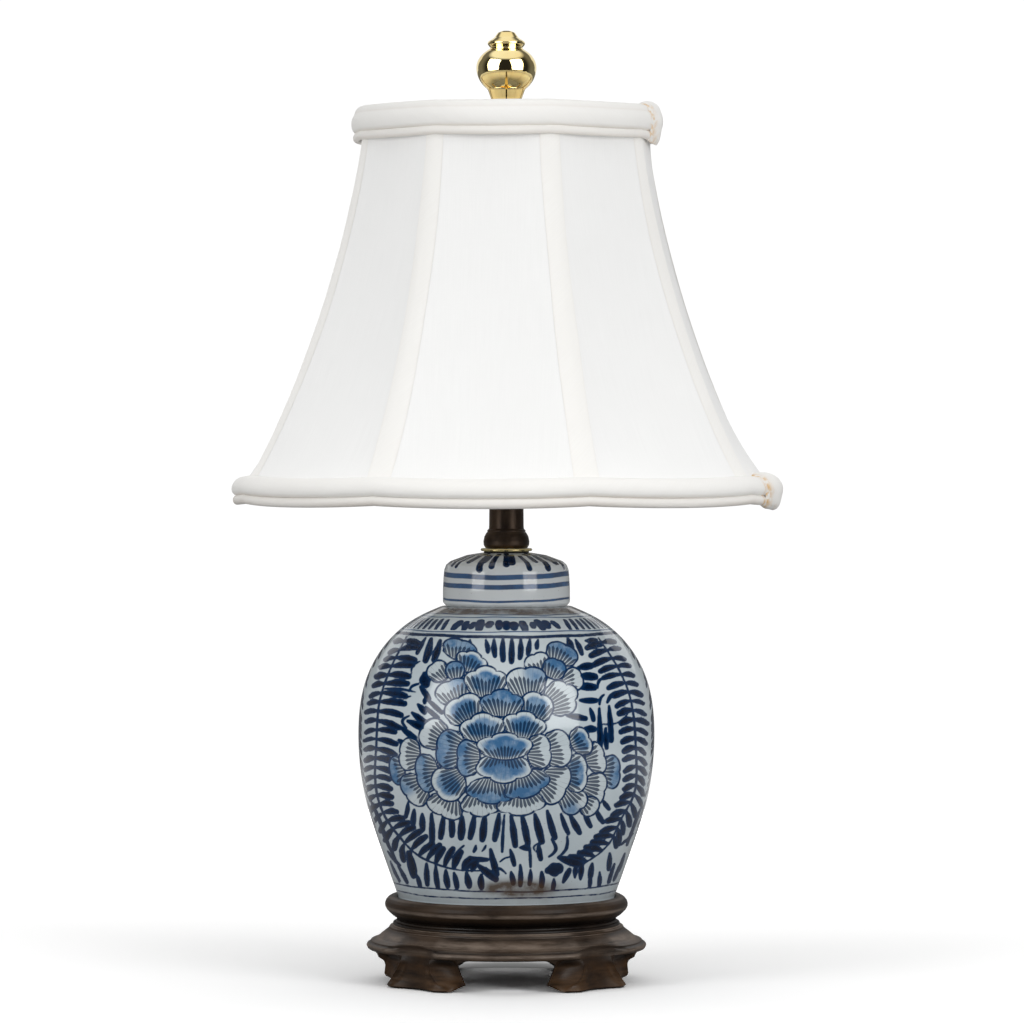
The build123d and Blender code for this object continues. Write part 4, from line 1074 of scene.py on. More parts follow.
# %% Porcelain finish
def glaze(name):
    """Porcelain finish reading the fields that a painted piece carries."""
    finish = new_finish(name, Roughness=0.09, Specular_IOR_Level=0.44, Coat_Weight=0.08, Coat_Roughness=0.03)
    tree = finish.node_tree
    spot = place(tree)
    drift = noise(tree, spot, 260.0, 3.0)
    pool = noise(tree, spot, 130.0, 4.0, 0.6)
    broad = noise(tree, spot, 26.0, 3.0)
    speck = noise(tree, spot, 700.0, 1.0)
    cloudy = span(tree, broad, 0.35, 0.65, 0, 1)
    ground = blend_colours(tree, cloudy, colour(192, 204, 210), colour(203, 213, 218))
    # Painted light: the lid's ground is a lighter white, standing in for light that the shade keeps off it.
    lid_painted_lighter = span(tree, height_in(tree), 0.2066, 0.2074, 0, 0.8)
    ground = blend_colours(tree, lid_painted_lighter, ground, colour(224, 228, 230))
    ground = blend_colours(tree, span(tree, speck, 0.74, 0.8, 0, 0.35), ground, colour(96, 84, 74))
    wash = sums(tree, "MULTIPLY", field(tree, "wash"), span(tree, pool, 0.3, 0.7, 0.62, 1.15), clamp=True)
    thin = blend_colours(tree, wash, ground, colour(78, 125, 168))
    thin = blend_colours(tree, span(tree, wash, 0.75, 1.0, 0, 0.5), thin, colour(43, 87, 131))
    edge = nudge(tree, drift, 0.7, field(tree, "ink"))
    strip = sums(tree, "ABSOLUTE", sums(tree, "SUBTRACT", sums(tree, "FRACT", field(tree, "fan")), 0.5))
    hair = sums(tree, "SUBTRACT", strip, sums(tree, "MULTIPLY", field(tree, "hatch"), 0.38))
    hairs = span(tree, nudge(tree, pool, 0.22, hair), -0.06, 0.05, 0.85, 0.0)
    stroke = span(tree, edge, -0.16, 0.2, 1.0, 0.0)
    depth = span(tree, edge, -1.5, -0.1, 1.0, 0.0)
    deep = sums(tree, "MULTIPLY", depth, span(tree, pool, 0.3, 0.68, 1.15, 0.55), clamp=True)
    cobalt = blend_colours(tree, deep, colour(13, 50, 90), colour(3, 19, 43))
    painted = blend_colours(tree, hairs, thin, colour(9, 38, 68))
    painted = blend_colours(tree, stroke, painted, cobalt)
    ring = span(tree, nudge(tree, drift, 0.3, field(tree, "line")), -0.15, 0.2, 0.92, 0.0)
    pooled = span(tree, pool, 0.35, 0.65, 0, 1)
    ring_blue = blend_colours(tree, pooled, colour(30, 84, 136), colour(17, 58, 102))
    painted = blend_colours(tree, ring, painted, ring_blue)
    stain = sums(tree, "MULTIPLY", field(tree, "rust"), span(tree, pool, 0.25, 0.7, 0.5, 1.2), clamp=True)
    painted = blend_colours(tree, sums(tree, "MULTIPLY", stain, 0.92), painted, colour(72, 51, 30))
    relief = sums(tree, "MULTIPLY_ADD", stroke, -0.15, broad)
    return shade_with(finish, painted, span(tree, drift, 0.3, 0.7, 0.06, 0.13), relief, 0.0006, 0.25)


print("porcelain finish ready")

# %% [markdown]
# ## The jar's two halves
# Both halves carry the same painting, mirrored at the back so that the ferns at the sides meet. Each gets a
# plain rectangle of its own to bake on, and the outline's true normals, so that no seam shows where the
# halves meet.

# %% Jar halves
painted_porcelain = glaze("painted_porcelain")
own_turn = np.linspace(-np.pi / 2, np.pi / 2, 335)
jar_r, jar_z = jar_outline[:, :1], jar_outline[:, 1:]
slope = unit(np.gradient(jar_outline, axis=0))
margin = 0.01
bake_places = grid(np.linspace(margin, 1 - margin, len(own_turn)),
                   np.linspace(margin, 1 - margin, len(jar_outline))[:, None]).reshape(-1, 2)
for name, start, mirror in (("jar_front", 0.0, 1), ("jar_back", np.pi, -1)):
    points = about_axis(jar_r, own_turn + start, jar_z)
    spread = np.broadcast_arrays(own_turn * mirror, jar_r, jar_z)
    painting = paint_half(*(part.reshape(-1) for part in spread))
    fields = {key: value.reshape(points.shape[:2]) for key, value in painting.items()}
    half = surface(name, points, True, False, fields=fields, crease=0)
    bake = half.data.uv_layers.new(name="OFBake")
    loop_points = np.zeros(len(half.data.loops), np.int32)
    half.data.loops.foreach_get("vertex_index", loop_points)
    bake.data.foreach_set("uv", run_of(bake_places[loop_points]))
    normal = about_axis(slope[:, 1:], own_turn + start, -slope[:, :1])
    half.data.normals_split_custom_set_from_vertices(normal.reshape(-1, 3).tolist())
    fit(half, "base", "painted_porcelain", painted_porcelain, "jar")

# %% [markdown]
# ## Lid
# The lid is a shallow cap, turned as the jar is. Its shoulder is soft, because glaze rounds off every edge,
# and a plain hollow inside goes over the jar's neck.

# %% Lid outline
lid_inside = [(hole_r, 233.0), (28.2, 226.2), (31.2, 224.0)]
lid_outline = bent_line([(31.2, 210.0), (31.2, 207.3), (33.2, 207.3), (35.2, 209.6), (35.2, 217.0),
                         (34.9, 223.0), (34.5, 227.4), (33.4, 230.3), (31.0, 232.3), (22.0, 235.6),
                         (14.0, 236.9), (hole_r, 237.0)], 1.8, 0.5)
lid_outline = np.vstack([lid_inside, lid_outline])
lid_points = turned(lid_outline, 420)
lid_turn = np.arctan2(lid_points[..., 0], -lid_points[..., 1])
lid_r = np.hypot(lid_points[..., 0], lid_points[..., 1])
lid_z = lid_points[..., 2]
print("lid grid", lid_points.shape)

# %% [markdown]
# ## Lines on the lid
# Two broad blue lines and a thin one run round the lid's wall. A brush held against a turning lid never
# leaves a true circle, so they sag and wander a little.

# %% Lid lines
wall = (lid_r > 34.0) & (lid_z < 229)
lid_line = np.full(lid_r.shape, no_ink)
for height, thick, sag in ((224.9, 2.7, 1.3), (219.4, 2.6, 1.0), (211.4, 1.2, 1.0)):
    wander = height + sag * (0.45 - np.cos(lid_turn) ** 2)
    wander = wander + 0.25 * np.sin(lid_turn) + 0.12 * np.sin(7 * lid_turn)
    lid_line = np.where(wall, np.minimum(lid_line, np.abs(lid_z - wander) - thick / 2), lid_line)
print("share of the lid under blue lines", round(float((lid_line < 0).mean()), 2))

# %% [markdown]
# ## Strokes on the lid
# A ring of leaf strokes lies on the top. Places are measured along the outline from the check ring, so that
# a stroke keeps its width where the lid bends down. The lid shares the jar's glaze, so it carries the same
# fields.

# %% Lid strokes
steps = np.linalg.norm(np.diff(lid_outline, axis=0), axis=1)
under_ring = 8.4
from_ring = (np.concatenate([np.cumsum(steps[::-1])[::-1], [0]]) - under_ring)[:, None]
lid_ink = np.full(lid_r.shape, no_ink)
lid_strokes = 34
for number in range(lid_strokes):
    middle = number * 2 * np.pi / lid_strokes + 0.05 * np.sin(5.1 * number)
    start, end = 1.0 + 7.0 * np.sin(2.3 * number) ** 2, 19.5 + 3.0 * np.sin(3.7 * number)
    past = from_ring - start
    along = np.clip(past / (end - start), 0, 1)
    off = ((lid_turn - middle + np.pi) % (2 * np.pi) - np.pi) * lid_r - 0.12 * np.sin(4.1 * number) * past
    half_wide = (1.9 + 0.35 * np.sin(1.9 * number)) * (0.7 + 0.3 * along)
    gap = np.hypot(off, past - along * (end - start)) - half_wide
    lid_ink = np.where((lid_r > 14) & (lid_z > 226), np.minimum(lid_ink, gap), lid_ink)
lid_stain = 0.5 * ease(209.6, 207.6, lid_z) * (lid_r > 33)
lid_fields = {"ink": lid_ink, "line": lid_line, "wash": 0.0, "fan": 0.0, "hatch": 0.0, "rust": lid_stain}
lid = surface("jar_lid_painted", lid_points, False, True, crease=0, fields=lid_fields)
fit(lid, "base", "painted_porcelain", painted_porcelain, "jar_lid")

# %% [markdown]
# ## Neck, ring and finial
# These are lathe work too: a dark bronzed tube on a thin brass ring, and a polished brass finial of a cup,
# a ball, a flattened bead and a tip. Polished metal shows only what it mirrors, so its outline needs close,
# even points and true creases where two forms meet. The brass has faint turning lines; the bronze is
# browned and uneven.


# %% Metal finishes
def brass(name, light, dark, rough):
    """Polished or satin brass: colour drifts a little, fine turning lines run round the axis."""
    finish = new_finish(name, Metallic=1.0, Roughness=rough)
    tree = finish.node_tree
    cloud = noise(tree, place(tree), 55.0, 4.0)
    lines = noise(tree, place(tree, (0.4, 0.4, 26.0)), 160.0, 2.0)
    tone = blend_colours(tree, span(tree, cloud, 0.35, 0.65, 0, 1), light, dark)
    rough_here = span(tree, cloud, 0.3, 0.7, rough * 0.6, rough * 1.5)
    return shade_with(finish, tone, rough_here, lines, 0.00002, 0.25)


polished_brass = brass("polished_brass", colour(252, 234, 174), colour(244, 217, 148), 0.06)
brassed_steel = brass("brassed_steel", colour(220, 188, 118), colour(198, 162, 96), 0.24)
dark_bronze = new_finish("dark_bronze", Metallic=0.75, Roughness=0.36)
tree = dark_bronze.node_tree
cloud = noise(tree, place(tree, (1, 1, 0.5)), 60.0, 5.0)
patina = blend_colours(tree, span(tree, cloud, 0.35, 0.65, 0, 1), colour(52, 42, 36), colour(88, 70, 54))
shade_with(dark_bronze, patina, span(tree, cloud, 0.3, 0.7, 0.28, 0.46), cloud, 0.0001, 0.3)
print("brass, brassed steel and bronze ready")

# %% [markdown]
# ## Three turned pieces
# The neck stands on a rounded foot with a small bead above it. The check ring is a thin washer with a rounded
# rim. The finial's ball is a little deeper below its middle than above it.

# %% Neck, ring and finial pieces
neck_outline = bent_line([(5.4, 239.6), (11.6, 239.6), (12.6, 241.2), (12.75, 243.4), (12.2, 246.0),
                          (11.2, 247.8), (10.5, 248.6), (10.7, 249.4), (9.7, 250.2), (9.6, 252.0),
                          (9.4, 270.4), (5.4, 270.4)], 0.5, 0.3)
neck = surface("neck_turned", turned(neck_outline, 120), False, True, crease=45)
fit(neck, "base", "dark_bronze", dark_bronze, "neck")
ring_outline = bent_line([(hole_r, 237.9), (13.9, 237.9), (14.4, 238.6), (13.9, 239.4), (hole_r, 239.4)],
                         0.5, 0.25)
ring = surface("check_ring_turned", turned(ring_outline, 120), False, True, crease=60)
fit(ring, "base", "polished_brass", polished_brass, "check_ring")

swell = np.radians(np.linspace(-50, 51, 60))
ball = np.stack([16.7 * np.cos(swell), 505.5 + np.where(swell > 0, 12.4, 15.2) * np.sin(swell)], -1)
cup = bent_line([(3.2, 480.0), (7.6, 480.0), (7.7, 481.2), (8.0, 486.0), (8.7, 488.8), (9.7, 491.6),
                 (10.2, 493.0), (ball[0, 0], ball[0, 1] - 0.1)], 0.5, 0.3)
tip = bent_line([(ball[-1, 0], ball[-1, 1] + 0.05), (9.2, 515.9), (9.0, 516.6), (9.6, 517.4), (10.3, 518.3),
                 (10.5, 519.1), (9.9, 520.1), (8.2, 521.2), (6.7, 522.2), (5.9, 523.3), (4.7, 524.9),
                 (2.7, 525.8), (0.0, 526.05)], 0.7, 0.25)
finial = surface("finial_turned", turned(np.vstack([cup, ball, tip]), 144), False, True, crease=32)
fit(finial, "finial", "polished_brass", polished_brass, "finial")

# %% [markdown]
# ## Bell shade
# Eight gores of cloth are stretched over bowed wire ribs. Each gore is a sheet: at any height its
# cross-section is a shallow arc from rib to rib, round at the rings and nearly straight halfway up, and the
# ribs themselves lie on a big circle that bows inwards. Cloth simulation isn't needed, because the cloth is
# tight on its frame.

# %% Shade shape
low_z, high_z, gores = 271.28, 480.28, 8
half_gore, first_rib = np.pi / gores, np.radians(17.0)
bow_r, bow_out, bow_z = 623.67, 696.75, 569.48
along_bell = 1.06


def rib_radius(z):
    """Radius over a rib: an arc of a big circle whose centre lies outside the bell, above its middle."""
    return bow_out - np.sqrt(bow_r ** 2 - (z - bow_z) ** 2)


def gore_point(z, share, inset=0.0, out=0.0):
    """Point across a gore (share 0 to 1 from rib to rib) in the gore's own frame: along its bisector, across
    it, and how far the cloth has run from its middle. The arc passes through both ribs and through the gore's
    middle, whose radius flattens halfway up. Inset moves the whole arc in, and out lifts a point off it."""
    r = rib_radius(z) - inset
    height = np.clip((z - low_z) / (high_z - low_z), 0, 1)
    round_share = 1 - 0.85 * (1 - (2 * height - 1) ** 4)
    flat = np.cos(half_gore)
    middle = r * (flat + round_share * (1 - flat))
    centre = (r ** 2 - middle ** 2) / (2 * (r * flat - middle))
    bend = middle - centre
    swing = np.arcsin(r * np.sin(half_gore) / bend) * (2 * share - 1)
    return centre + (bend + out) * np.cos(swing), (bend + out) * np.sin(swing), bend * swing


def gore_grid(number, z, share, inset=0.0, out=0.0):
    """World points of a gore and their places on the flat cloth, which is a little longer than it is high."""
    along, across, run = gore_point(z, share, inset, out)
    turn = first_rib + number * 2 * half_gore + half_gore
    x = along * np.sin(turn) + across * np.cos(turn)
    y = -along * np.cos(turn) + across * np.sin(turn)
    return grid(x, y, z), grid(run, z * along_bell)


print("ribs go from", round(float(rib_radius(low_z)), 1), "to", round(float(rib_radius(high_z)), 1), "mm out")

# %% [markdown]
# ## Cloth
# The gores are a smooth silky weave whose threads run up and down, almost white and a little cool.
# Bindings, piping and seam tapes are a creamier cloth cut on the bias. Both are woven in the finish:
# stretched noise makes uneven threads, and a fine crossing of waves makes the weave, small enough to read
# only close up. Creases, seams and undersides take a warm painted shade. The lining has a faint painted glow
# near the top, which stands for daylight coming through it.


# %% Cloth finishes
def woven(name, light, dark, crease_shade_tone, slub, tilt):
    """Cloth read from its flat map in millimetres: uneven threads, a fine weave, and a warm painted shade in
    its creases.
    """
    finish = new_finish(name, Roughness=0.82, Specular_IOR_Level=0.25, Sheen_Weight=0.25, Sheen_Roughness=0.4)
    tree = finish.node_tree
    flat = add(tree, "ShaderNodeUVMap", uv_map="cloth").outputs[0]
    turn = (0, 0, np.radians(tilt))
    turned_flat = add(tree, "ShaderNodeMapping", {"Vector": flat, "Rotation": turn}).outputs[0]
    long_way = add(tree, "ShaderNodeMapping", {"Vector": turned_flat, "Scale": (1.6, 0.03, 1)}).outputs[0]
    cross_way = add(tree, "ShaderNodeMapping", {"Vector": turned_flat, "Scale": (0.05, 2.2, 1)}).outputs[0]
    threads = noise(tree, long_way, 1.0, 3.0, 0.6)
    picks = noise(tree, cross_way, 1.0, 2.0)
    wave = {"Vector": turned_flat, "Scale": 0.55, "Distortion": 0.6, "Detail": 1.0}
    warp, weft = (add(tree, "ShaderNodeTexWave", wave, bands_direction=way).outputs["Fac"] for way in "XY")
    broad = noise(tree, place(tree), 14.0, 3.0)
    tone = blend_colours(tree, span(tree, threads, 0.3, 0.7, 0, slub), light, dark)
    tone = blend_colours(tree, span(tree, broad, 0.35, 0.7, 0, 0.35), tone, dark)
    tone = blend_colours(tree, sums(tree, "MULTIPLY", field(tree, "crease"), 1.0, clamp=True), tone, crease_shade_tone)
    patchy = span(tree, noise(tree, place(tree), 330.0, 3.0), 0.4, 0.6, 0, 1)
    glue = sums(tree, "MULTIPLY", field(tree, "glue"), patchy)
    tone = blend_colours(tree, glue, tone, colour(216, 172, 104))
    weave = sums(tree, "ADD", sums(tree, "MULTIPLY", warp, weft), sums(tree, "ADD", threads, picks))
    return shade_with(finish, tone, span(tree, threads, 0.3, 0.7, 0.74, 0.9), weave, 0.00006, 0.5)


panel_cloth = woven("panel_cloth", colour(243, 243, 242), colour(236, 236, 235), colour(224, 222, 218),
                    0.45, 0)
trim_cloth = woven("trim_cloth", colour(244, 243, 240), colour(238, 236, 232), colour(218, 208, 197),
                   0.4, 45)
lining_cloth = woven("lining_cloth", colour(242, 241, 237), colour(234, 232, 228), colour(220, 214, 206),
                     0.5, 0)
tree = lining_cloth.node_tree
# Painted glow: the lining's emission near the top stands for daylight coming through the cloth.
painted_glow = tree.nodes["Principled BSDF"].inputs
painted_glow["Emission Color"].default_value = colour(255, 246, 230)
tree.links.new(span(tree, height_in(tree), 0.4, 0.46, 0.0, 0.3), painted_glow["Emission Strength"])
print("panel, trim and lining cloth ready")

# %% [markdown]
# ## Gores
# Each gore is kept a hair short of its ribs, which the tapes cover. Near both rings small gathers show
# where the cloth is pulled over the wire; they fade out within a few centimetres.


# %% Gores
def area_of(piece):
    """Sum of the faces in square metres."""
    size = np.zeros(len(piece.data.polygons), np.float32)
    piece.data.polygons.foreach_get("area", size)
    return float(size.sum())


fade = 14.0
rows, columns = np.linspace(low_z, high_z, 80)[:, None], np.linspace(0.002, 0.998, 41)[None, :]
# Painted shade: a faint warm shade along each seam.
seam_shade = np.exp(-np.minimum(columns, 1 - columns) / 0.018) * 0.08
for number in range(gores):
    top_pull = 0.22 * np.exp(-(high_z - rows) / fade) * np.cos(columns * 2 * np.pi * 9 + number)
    low_pull = 0.18 * np.exp(-(rows - low_z) / fade) * np.cos(columns * 2 * np.pi * 11 + 2 * number)
    pull = (top_pull + low_pull) * np.sin(np.pi * columns)
    points, flat = gore_grid(number, rows, columns, out=pull)
    gore = surface(f"shade_gore_{number + 1}", points, cloth_map=flat, crease=0,
                   fields={"crease": seam_shade, "glue": 0.0})
    fit(gore, "shade", "panel_cloth", panel_cloth, f"shade_panel_{number + 1}")
    area_of(gore)

# %% [markdown]
# ## Seam tapes
# A folded bias strip covers each seam. It is glued over the rib, a little proud of the cloth, with both
# long edges turned under, so its section is a low pillow bent over the rib. It narrows towards the top with
# the gores. Its layers soften the bend, so the normals that shade it turn only part of the way from one
# gore to the next.

# %% Tapes
tape_z = np.linspace(278.6, 465.0, 90)[:, None]
tape_u = np.sin(np.linspace(-np.pi / 2, np.pi / 2, 25))[None, :]
share_up = (tape_z - 279.9) / 184.1
gore_width = 2 * np.abs(gore_point(tape_z, np.array([[0.0]]))[2])
# Painted shade: the tape's turned-under edges are warmed darker.
fold_shade = 0.12 * np.abs(tape_u) ** 12
bend_half = 1.6
for number in range(gores):
    half_width = 7.3 - 1.75 * share_up + 0.25 * np.sin(tape_z / 17 + 3 * number)
    sway = 0.5 * np.sin(tape_z / 41 + 1.7 * number)
    place_on = tape_u * half_width + sway
    rise = 0.05 + 0.5 * np.sqrt(1 - np.abs(tape_u) ** 7)
    rise = rise + 0.05 * np.sin(tape_z / 6 + 5 * tape_u) * (1 - tape_u ** 2)
    right = gore_grid(number, tape_z, np.clip(place_on, 0, None) / gore_width, out=rise)[0]
    left = gore_grid(number - 1, tape_z, 1 + np.clip(place_on, None, 0) / gore_width, out=rise)[0]
    side = ease(-bend_half, bend_half, place_on)[..., None]
    points = left * (1 - side) + right * side
    flat = grid(place_on + 40 * number, tape_z * along_bell)
    tape = surface(f"seam_tape_{number + 1}_cloth", points, cloth_map=flat, crease=0,
                   fields={"crease": fold_shade, "glue": 0.0})
    ends = unit(np.cross(np.gradient(points, axis=1), np.gradient(points, axis=0)))[:, [4, -5]]
    facing = unit(ends.sum(1, keepdims=True) + 0.4 * tape_u[..., None] * (ends[:, 1:] - ends[:, :1]))
    tape.data.normals_split_custom_set_from_vertices(facing.reshape(-1, 3).tolist())
    fit(tape, "shade", "trim_cloth", trim_cloth, f"seam_tape_{number + 1}")

# %% [markdown]
# ## Bindings and piping
# The top and bottom edges are bound with a padded bias roll and a thin piping below it. Real bindings are
# never true circles: they dip a little between the ribs, where the cloth pulls, and crease where they were
# stretched round. So each is a closed section carried round the bell, with its height and fullness changed
# by the turn.


# %% Binding helpers
def dip_at(turn):
    """0 at a rib and 1 halfway between two ribs."""
    return np.sin(np.pi * (((turn - first_rib) / (2 * half_gore)) % 1.0)) ** 0.8


around = np.linspace(0, 2 * np.pi, 720, endpoint=False)[None, :]
dip = dip_at(around)
stray = 0.35 * np.sin(5 * around + 1.0) + 0.25 * np.sin(9 * around + 2.0) + 0.15 * np.sin(17 * around)
fullness = 1 + 0.02 * stray


def glue_near(turn):
    """Glue shows beside the wraps that close the bindings, where their near edge lies on the roll."""
    return 0.9 * hill(np.degrees(turn), 68.2, 0.9)


def bound(name, section, dips, node, crease_shading, wrinkle=0.0):
    """Closed section (radius, height) carried round: its height dips between ribs, its fullness changes a
    little, and small pleats follow the roll on its outer side. The crease shading gives the warm painted
    shade of its creases and underside."""
    closed = np.vstack([section, section[:1]])
    gaps = np.concatenate([[0], np.cumsum(np.linalg.norm(np.diff(closed, axis=0), axis=1))])
    stops = np.linspace(0, gaps[-1], 64, endpoint=False)
    loop = np.stack([np.interp(stops, gaps, closed[:, axis]) for axis in (0, 1)], -1)
    for _ in range(2):
        loop = (np.roll(loop, 1, 0) + 2 * loop + np.roll(loop, -1, 0)) / 4
    middle = loop.mean(0)
    r = middle[0] + (loop[:, :1] - middle[0]) * fullness
    z = middle[1] + (loop[:, 1:] - middle[1]) * fullness - dips
    round_roll = stops[:, None] / gaps[-1] * 2 * np.pi
    pleat = wrinkle * np.sin(around * 46 + 1.3 * np.sin(7 * around) + 9 * np.sin(round_roll))
    r = r + pleat * (loop[:, :1] > middle[0]) * ease(0, 1, np.sin(3 * around) * np.sin(5 * around + 1) + 0.3)
    flat = grid(around * middle[0], stops[:, None])
    roll = surface(name, about_axis(r, around, z), True, True, cloth_map=flat, crease=0,
                   fields={"crease": crease_shading(loop[:, 1:], around), "glue": glue_near(around)})
    return fit(roll, "shade", "trim_cloth", trim_cloth, node)


print("binding helpers ready")

# %% [markdown]
# ## The four bindings
# The top roll has a smaller second fold on its upper side, and the bottom roll is one full pad. The pipings
# are cords in cloth, a little higher than wide.

# %% Rolls and piping
top_section = np.array([(75.0, 473.5), (75.4, 479.8), (77.0, 482.6), (80.0, 483.6), (82.4, 483.2),
                        (83.7, 481.9), (84.1, 480.6), (84.0, 479.6), (85.0, 478.4), (85.9, 476.0),
                        (85.9, 473.2), (85.2, 470.6), (83.4, 468.9), (81.6, 468.4), (80.6, 470.5),
                        (80.2, 476.0), (79.4, 480.4), (77.2, 480.6), (75.8, 479.0), (75.5, 473.5)])
low_section = np.array([(143.6, 270.8), (145.4, 269.4), (148.0, 269.0), (150.6, 269.6), (152.0, 271.2),
                        (152.3, 273.4), (151.6, 275.8), (149.9, 278.0), (147.6, 279.5), (144.5, 280.0),
                        (141.6, 279.9), (141.2, 279.0), (145.0, 278.4), (147.4, 276.5), (148.6, 272.2),
                        (147.0, 271.2)])
ring_angle = np.linspace(0, 2 * np.pi, 24, endpoint=False)
top_pipe = np.stack([83.0 + 2.0 * np.cos(ring_angle), 466.8 + 2.4 * np.sin(ring_angle)], -1)
low_pipe = np.stack([149.0 + 2.5 * np.cos(ring_angle), 267.0 + 2.7 * np.sin(ring_angle)], -1)
# Painted shade: each binding is warmed darker on its underside and in its creases.
bound("top_roll_cloth", top_section, 0.45 * dip, "top_roll",
      lambda z, turn: 0.45 * ease(471.0, 468.9, z) + 0.2 * hill(z, 479.8, 0.6), 0.05)
bound("bottom_roll_cloth", low_section, 1.25 * dip - 0.5, "bottom_roll",
      lambda z, turn: 0.55 * ease(271.6, 269.4, z) * (0.6 + 0.4 * np.sin(4 * turn)), 0.07)
bound("top_piping_cloth", top_pipe, 0.75 * dip - 0.2, "top_piping",
      lambda z, turn: 0.2 + 0.25 * ease(466.5, 464.8, z))
bound("bottom_piping_cloth", low_pipe, 1.4 * dip - 0.5, "bottom_piping",
      lambda z, turn: (0.22 + 0.35 * np.sin(4 * turn + 0.5) ** 2 * ease(268, 265, z)
                       + 0.6 * hill(turn, 4.8, 0.05)))

# %% [markdown]
# ## Wraps
# Where a binding's ends meet, a short piece of cloth is wrapped round the joint and glued. It is a swollen
# band over the roll, fullest in its middle, with the glue showing yellow at its edges.


# %% Wraps
def wrap(name, section, centre, dips, node):
    """Section swollen away from a centre over a short turn. Its four edges sink into the roll, so none stands
    open, and it sags between the ribs as the roll does."""
    line = spline(section, 48)[:, None]
    along, across = np.linspace(0, 1, 48)[:, None], np.linspace(0, 1, 35)[None, :]
    first_edge, width = np.radians(68.6), np.radians(15.4)
    turn = first_edge + width * across
    away = unit(line - np.array(centre))
    hem = ease(0.0, 0.09, along) * ease(1.0, 0.91, along)
    swell = -0.8 + 3.25 * np.sin(np.pi * across) ** 0.55 * (1 + 0.1 * np.sin(9 * across + 14 * along))
    lump = swell * hem - 0.6 * (1 - hem)
    sag = dips * dip_at(turn)
    r, z = line[..., 0] + away[..., 0] * lump, line[..., 1] + away[..., 1] * lump - sag
    low_end = ease(0.35, 0.0, along)
    glue = np.clip(0.95 * hill(across, 0, 0.12) + 0.6 * low_end * hill(across, 0.3, 0.25), 0, 1)
    # Painted shade: a warm shade along the wrap's near edge, beside the glue.
    band = surface(name, about_axis(r, turn, z), cloth_map=grid(across * 15, along * 34), crease=0,
                   fields={"crease": 0.3 * hill(across, 0, 0.2), "glue": glue})
    return fit(band, "shade", "trim_cloth", trim_cloth, node)


top_around = [(81.2, 465.2), (82.6, 463.9), (84.4, 466.0), (85.2, 470.0), (85.9, 474.5), (85.0, 478.8),
              (83.6, 482.0), (80.2, 483.5), (77.0, 482.5), (75.5, 479.8), (75.2, 475.0)]
wrap("top_wrap_cloth", top_around, (80.3, 475.5), 0.45, "top_wrap")
low_around = [(146.4, 266.2), (148.6, 264.2), (151.2, 266.0), (152.0, 270.0), (152.2, 273.6), (150.8, 277.0),
              (147.6, 279.5), (144.5, 280.2), (141.8, 279.9), (141.4, 278.8)]
wrap("bottom_wrap_cloth", low_around, (147.0, 272.5), 0.75, "bottom_wrap")

# %% [markdown]
# ## Lining
# Inside, a thin lining hides the ribs. It follows the gores a few millimetres in, and shows from below and
# through the top ring.

# %% Lining
lining_z = np.linspace(275.2, 477.2, 60)[:, None]
lining_share = np.linspace(0, 1, 24, endpoint=False)[None, :]
parts = [gore_grid(number, lining_z, lining_share, inset=3.7) for number in range(gores)]
lining_points = np.concatenate([part[0] for part in parts], 1)
lining_flat = np.concatenate([part[1] + [number * 120, 0] for number, part in enumerate(parts)], 1)
# Painted shade: the lining is warmed darker along its gathers by the ribs.
gather_shade = np.tile(0.4 * np.exp(-np.minimum(lining_share, 1 - lining_share) / 0.03), gores)
lining = surface("shade_lining_cloth", lining_points, False, True, flip=True, cloth_map=lining_flat, crease=0,
                 fields={"crease": gather_shade, "glue": 0.0})
fit(lining, "shade", "lining_cloth", lining_cloth, "shade_lining")

# %% [markdown]
# ## Light for one thing at a time
# A photographer keeps stray light off part of a set with black flags. Blender's light linking does the
# same: two weak boxes beside the lamp reach only the shade's panels and tapes, and two wide ones in front
# only the polished finial, which needs something large and white to mirror. The jar isn't flattened by any
# of them.


# %% Flagged boxes
def light_only(box, pieces):
    """Lets a box light nothing but the given pieces, and keeps the box itself out of every view."""
    box.visible_camera = False
    group = bpy.data.collections.new(box.name + "_only")
    for piece in pieces:
        group.objects.link(piece)
    box.light_linking.receiver_collection = group
    print(box.name, "lights", len(pieces), "pieces")


panels = [piece for piece in scene.collection.objects if piece.name.startswith(("shade_gore", "seam_tape"))]
light_only(soft_box("side_box_left", (-1.2, -0.15, 0.4), (0, 0, 0.37), 0.5, 0.5, 1.3), panels)
light_only(soft_box("side_box_right", (1.2, -0.15, 0.4), (0, 0, 0.37), 0.5, 0.5, 0.6), panels)
light_only(soft_box("finial_box_left", (-1.07, -0.82, 0.9), (0, 0, 0.505), 1.25, 1.6, 23.5), [finial])
light_only(soft_box("finial_box_right", (0.93, -0.97, 0.9), (0, 0, 0.505), 1.25, 1.6, 26.5), [finial])

# %% [markdown]
# ## Fittings under the shade
# The harp, socket, knob, bulb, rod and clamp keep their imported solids, which already have the right shapes.
# Each gets a finish of its own: plated steel, brass shell, black moulding, opal glass, paper liner, zinc
# and felt.


# %% Finishes for the fittings
def plain(name, light, dark, scale, rough, depth, metal=0.0, stretch=(1, 1, 1), **sockets):
    """Two close tones over a noise, which also gives the roughness and a slight relief."""
    finish = new_finish(name, Metallic=metal, **sockets)
    tree = finish.node_tree
    cloud = noise(tree, place(tree, stretch), scale, 4.0)
    tone = blend_colours(tree, span(tree, cloud, 0.35, 0.65, 0, 1), light, dark)
    return shade_with(finish, tone, span(tree, cloud, 0.3, 0.7, rough * 0.8, rough * 1.25), cloud, depth, 0.4)


print("plain finish ready")

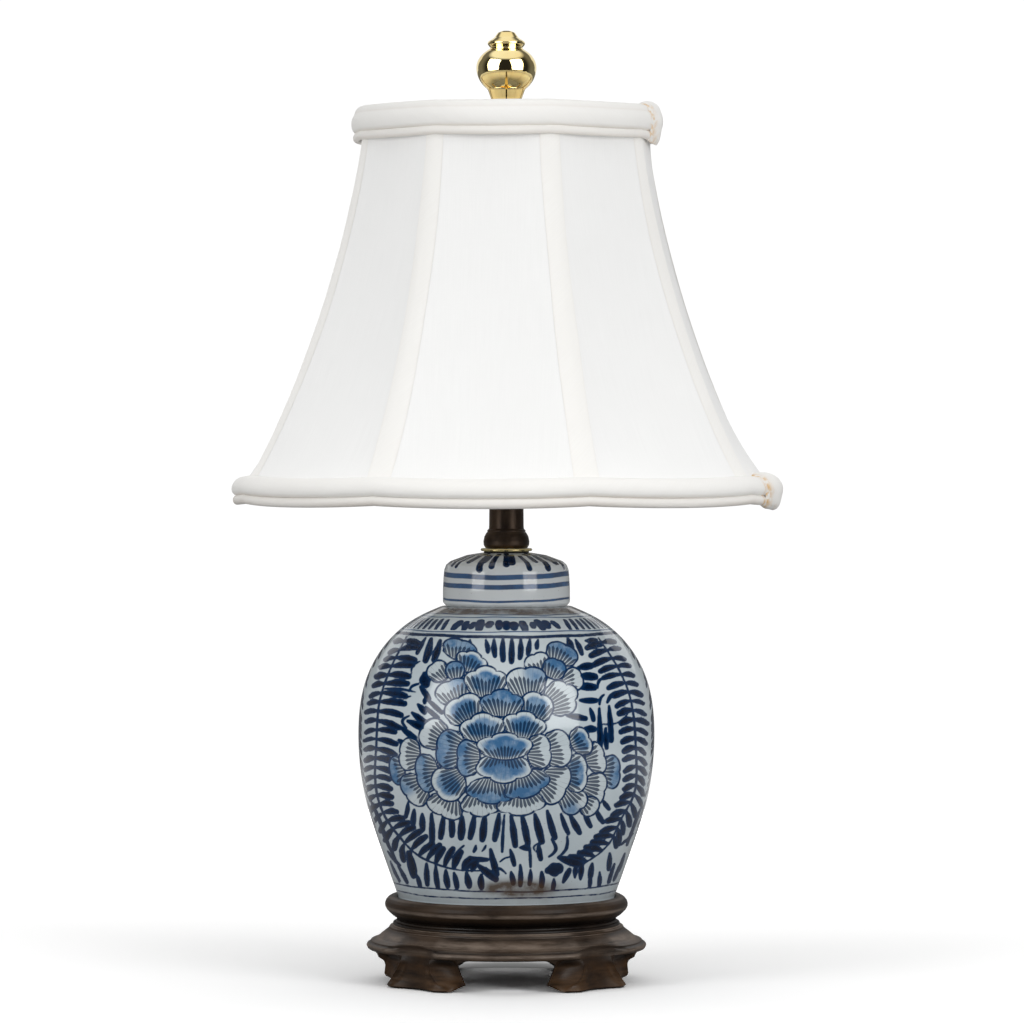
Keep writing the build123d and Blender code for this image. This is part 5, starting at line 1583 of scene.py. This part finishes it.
# %% [markdown]
# ## A finish for every slot
# Each solid names a slot for its finish. Felt and card are rough and matt, plated metals are half polished,
# and glass is smooth. Wood, porcelain, brass and bronze are the finishes made above.

# %% Finish of each slot
finishes = {
    "dark_wood": dark_wood,
    "painted_porcelain": painted_porcelain,
    "polished_brass": polished_brass,
    "brassed_steel": brassed_steel,
    "dark_bronze": dark_bronze,
    "pad_felt": plain("pad_felt", colour(46, 52, 44), colour(66, 72, 60), 900.0, 0.95, 0.0002),
    "rubber_black": plain("rubber_black", colour(24, 24, 25), colour(36, 36, 37), 240.0, 0.7, 0.00005),
    "zinc_steel": plain("zinc_steel", colour(178, 180, 182), colour(150, 152, 156), 120.0, 0.34, 0.00003,
                        1.0),
    "black_plastic": plain("black_plastic", colour(17, 17, 18), colour(27, 27, 28), 320.0, 0.32, 0.00004),
    "liner_card": plain("liner_card", colour(196, 176, 142), colour(176, 154, 120), 300.0, 0.9, 0.00008,
                        stretch=(1, 1, 6)),
    "brown_moulding": plain("brown_moulding", colour(70, 44, 32), colour(88, 58, 42), 160.0, 0.4, 0.00004),
    "cap_metal": plain("cap_metal", colour(205, 205, 203), colour(186, 187, 188), 140.0, 0.26, 0.00003, 1.0,
                       (1, 1, 9)),
    "solder": plain("solder", colour(172, 172, 170), colour(146, 147, 148), 380.0, 0.38, 0.00008, 1.0),
    "black_glass": plain("black_glass", colour(14, 14, 16), colour(24, 24, 28), 90.0, 0.12, 0.00002),
    "opal_glass": plain("opal_glass", colour(244, 243, 238), colour(236, 235, 231), 46.0, 0.3, 0.00002,
                        Subsurface_Weight=0.3, Subsurface_Radius=(0.004, 0.004, 0.004)),
    "frame_wire": plain("frame_wire", colour(226, 224, 218), colour(206, 203, 196), 210.0, 0.42, 0.00005),
}
print(len(finishes), "finishes")

# %% [markdown]
# ## Dressing the solids
# Solids that a new piece stands for are hidden already. The others drop their plain colour and take the
# finish of their slot.

# %% Dress the solids
slot_of = {entry["node"]: entry["material_slot"] for entry in frame["record"]["subparts"]}
dressed = []
for node, piece in frame["nodes"].items():
    if not piece.hide_render:
        piece.data.materials.clear()
        piece.data.materials.append(finishes[slot_of[node]])
        dressed.append(node)
print(len(dressed), "solids keep their shape:", ", ".join(sorted(dressed)))
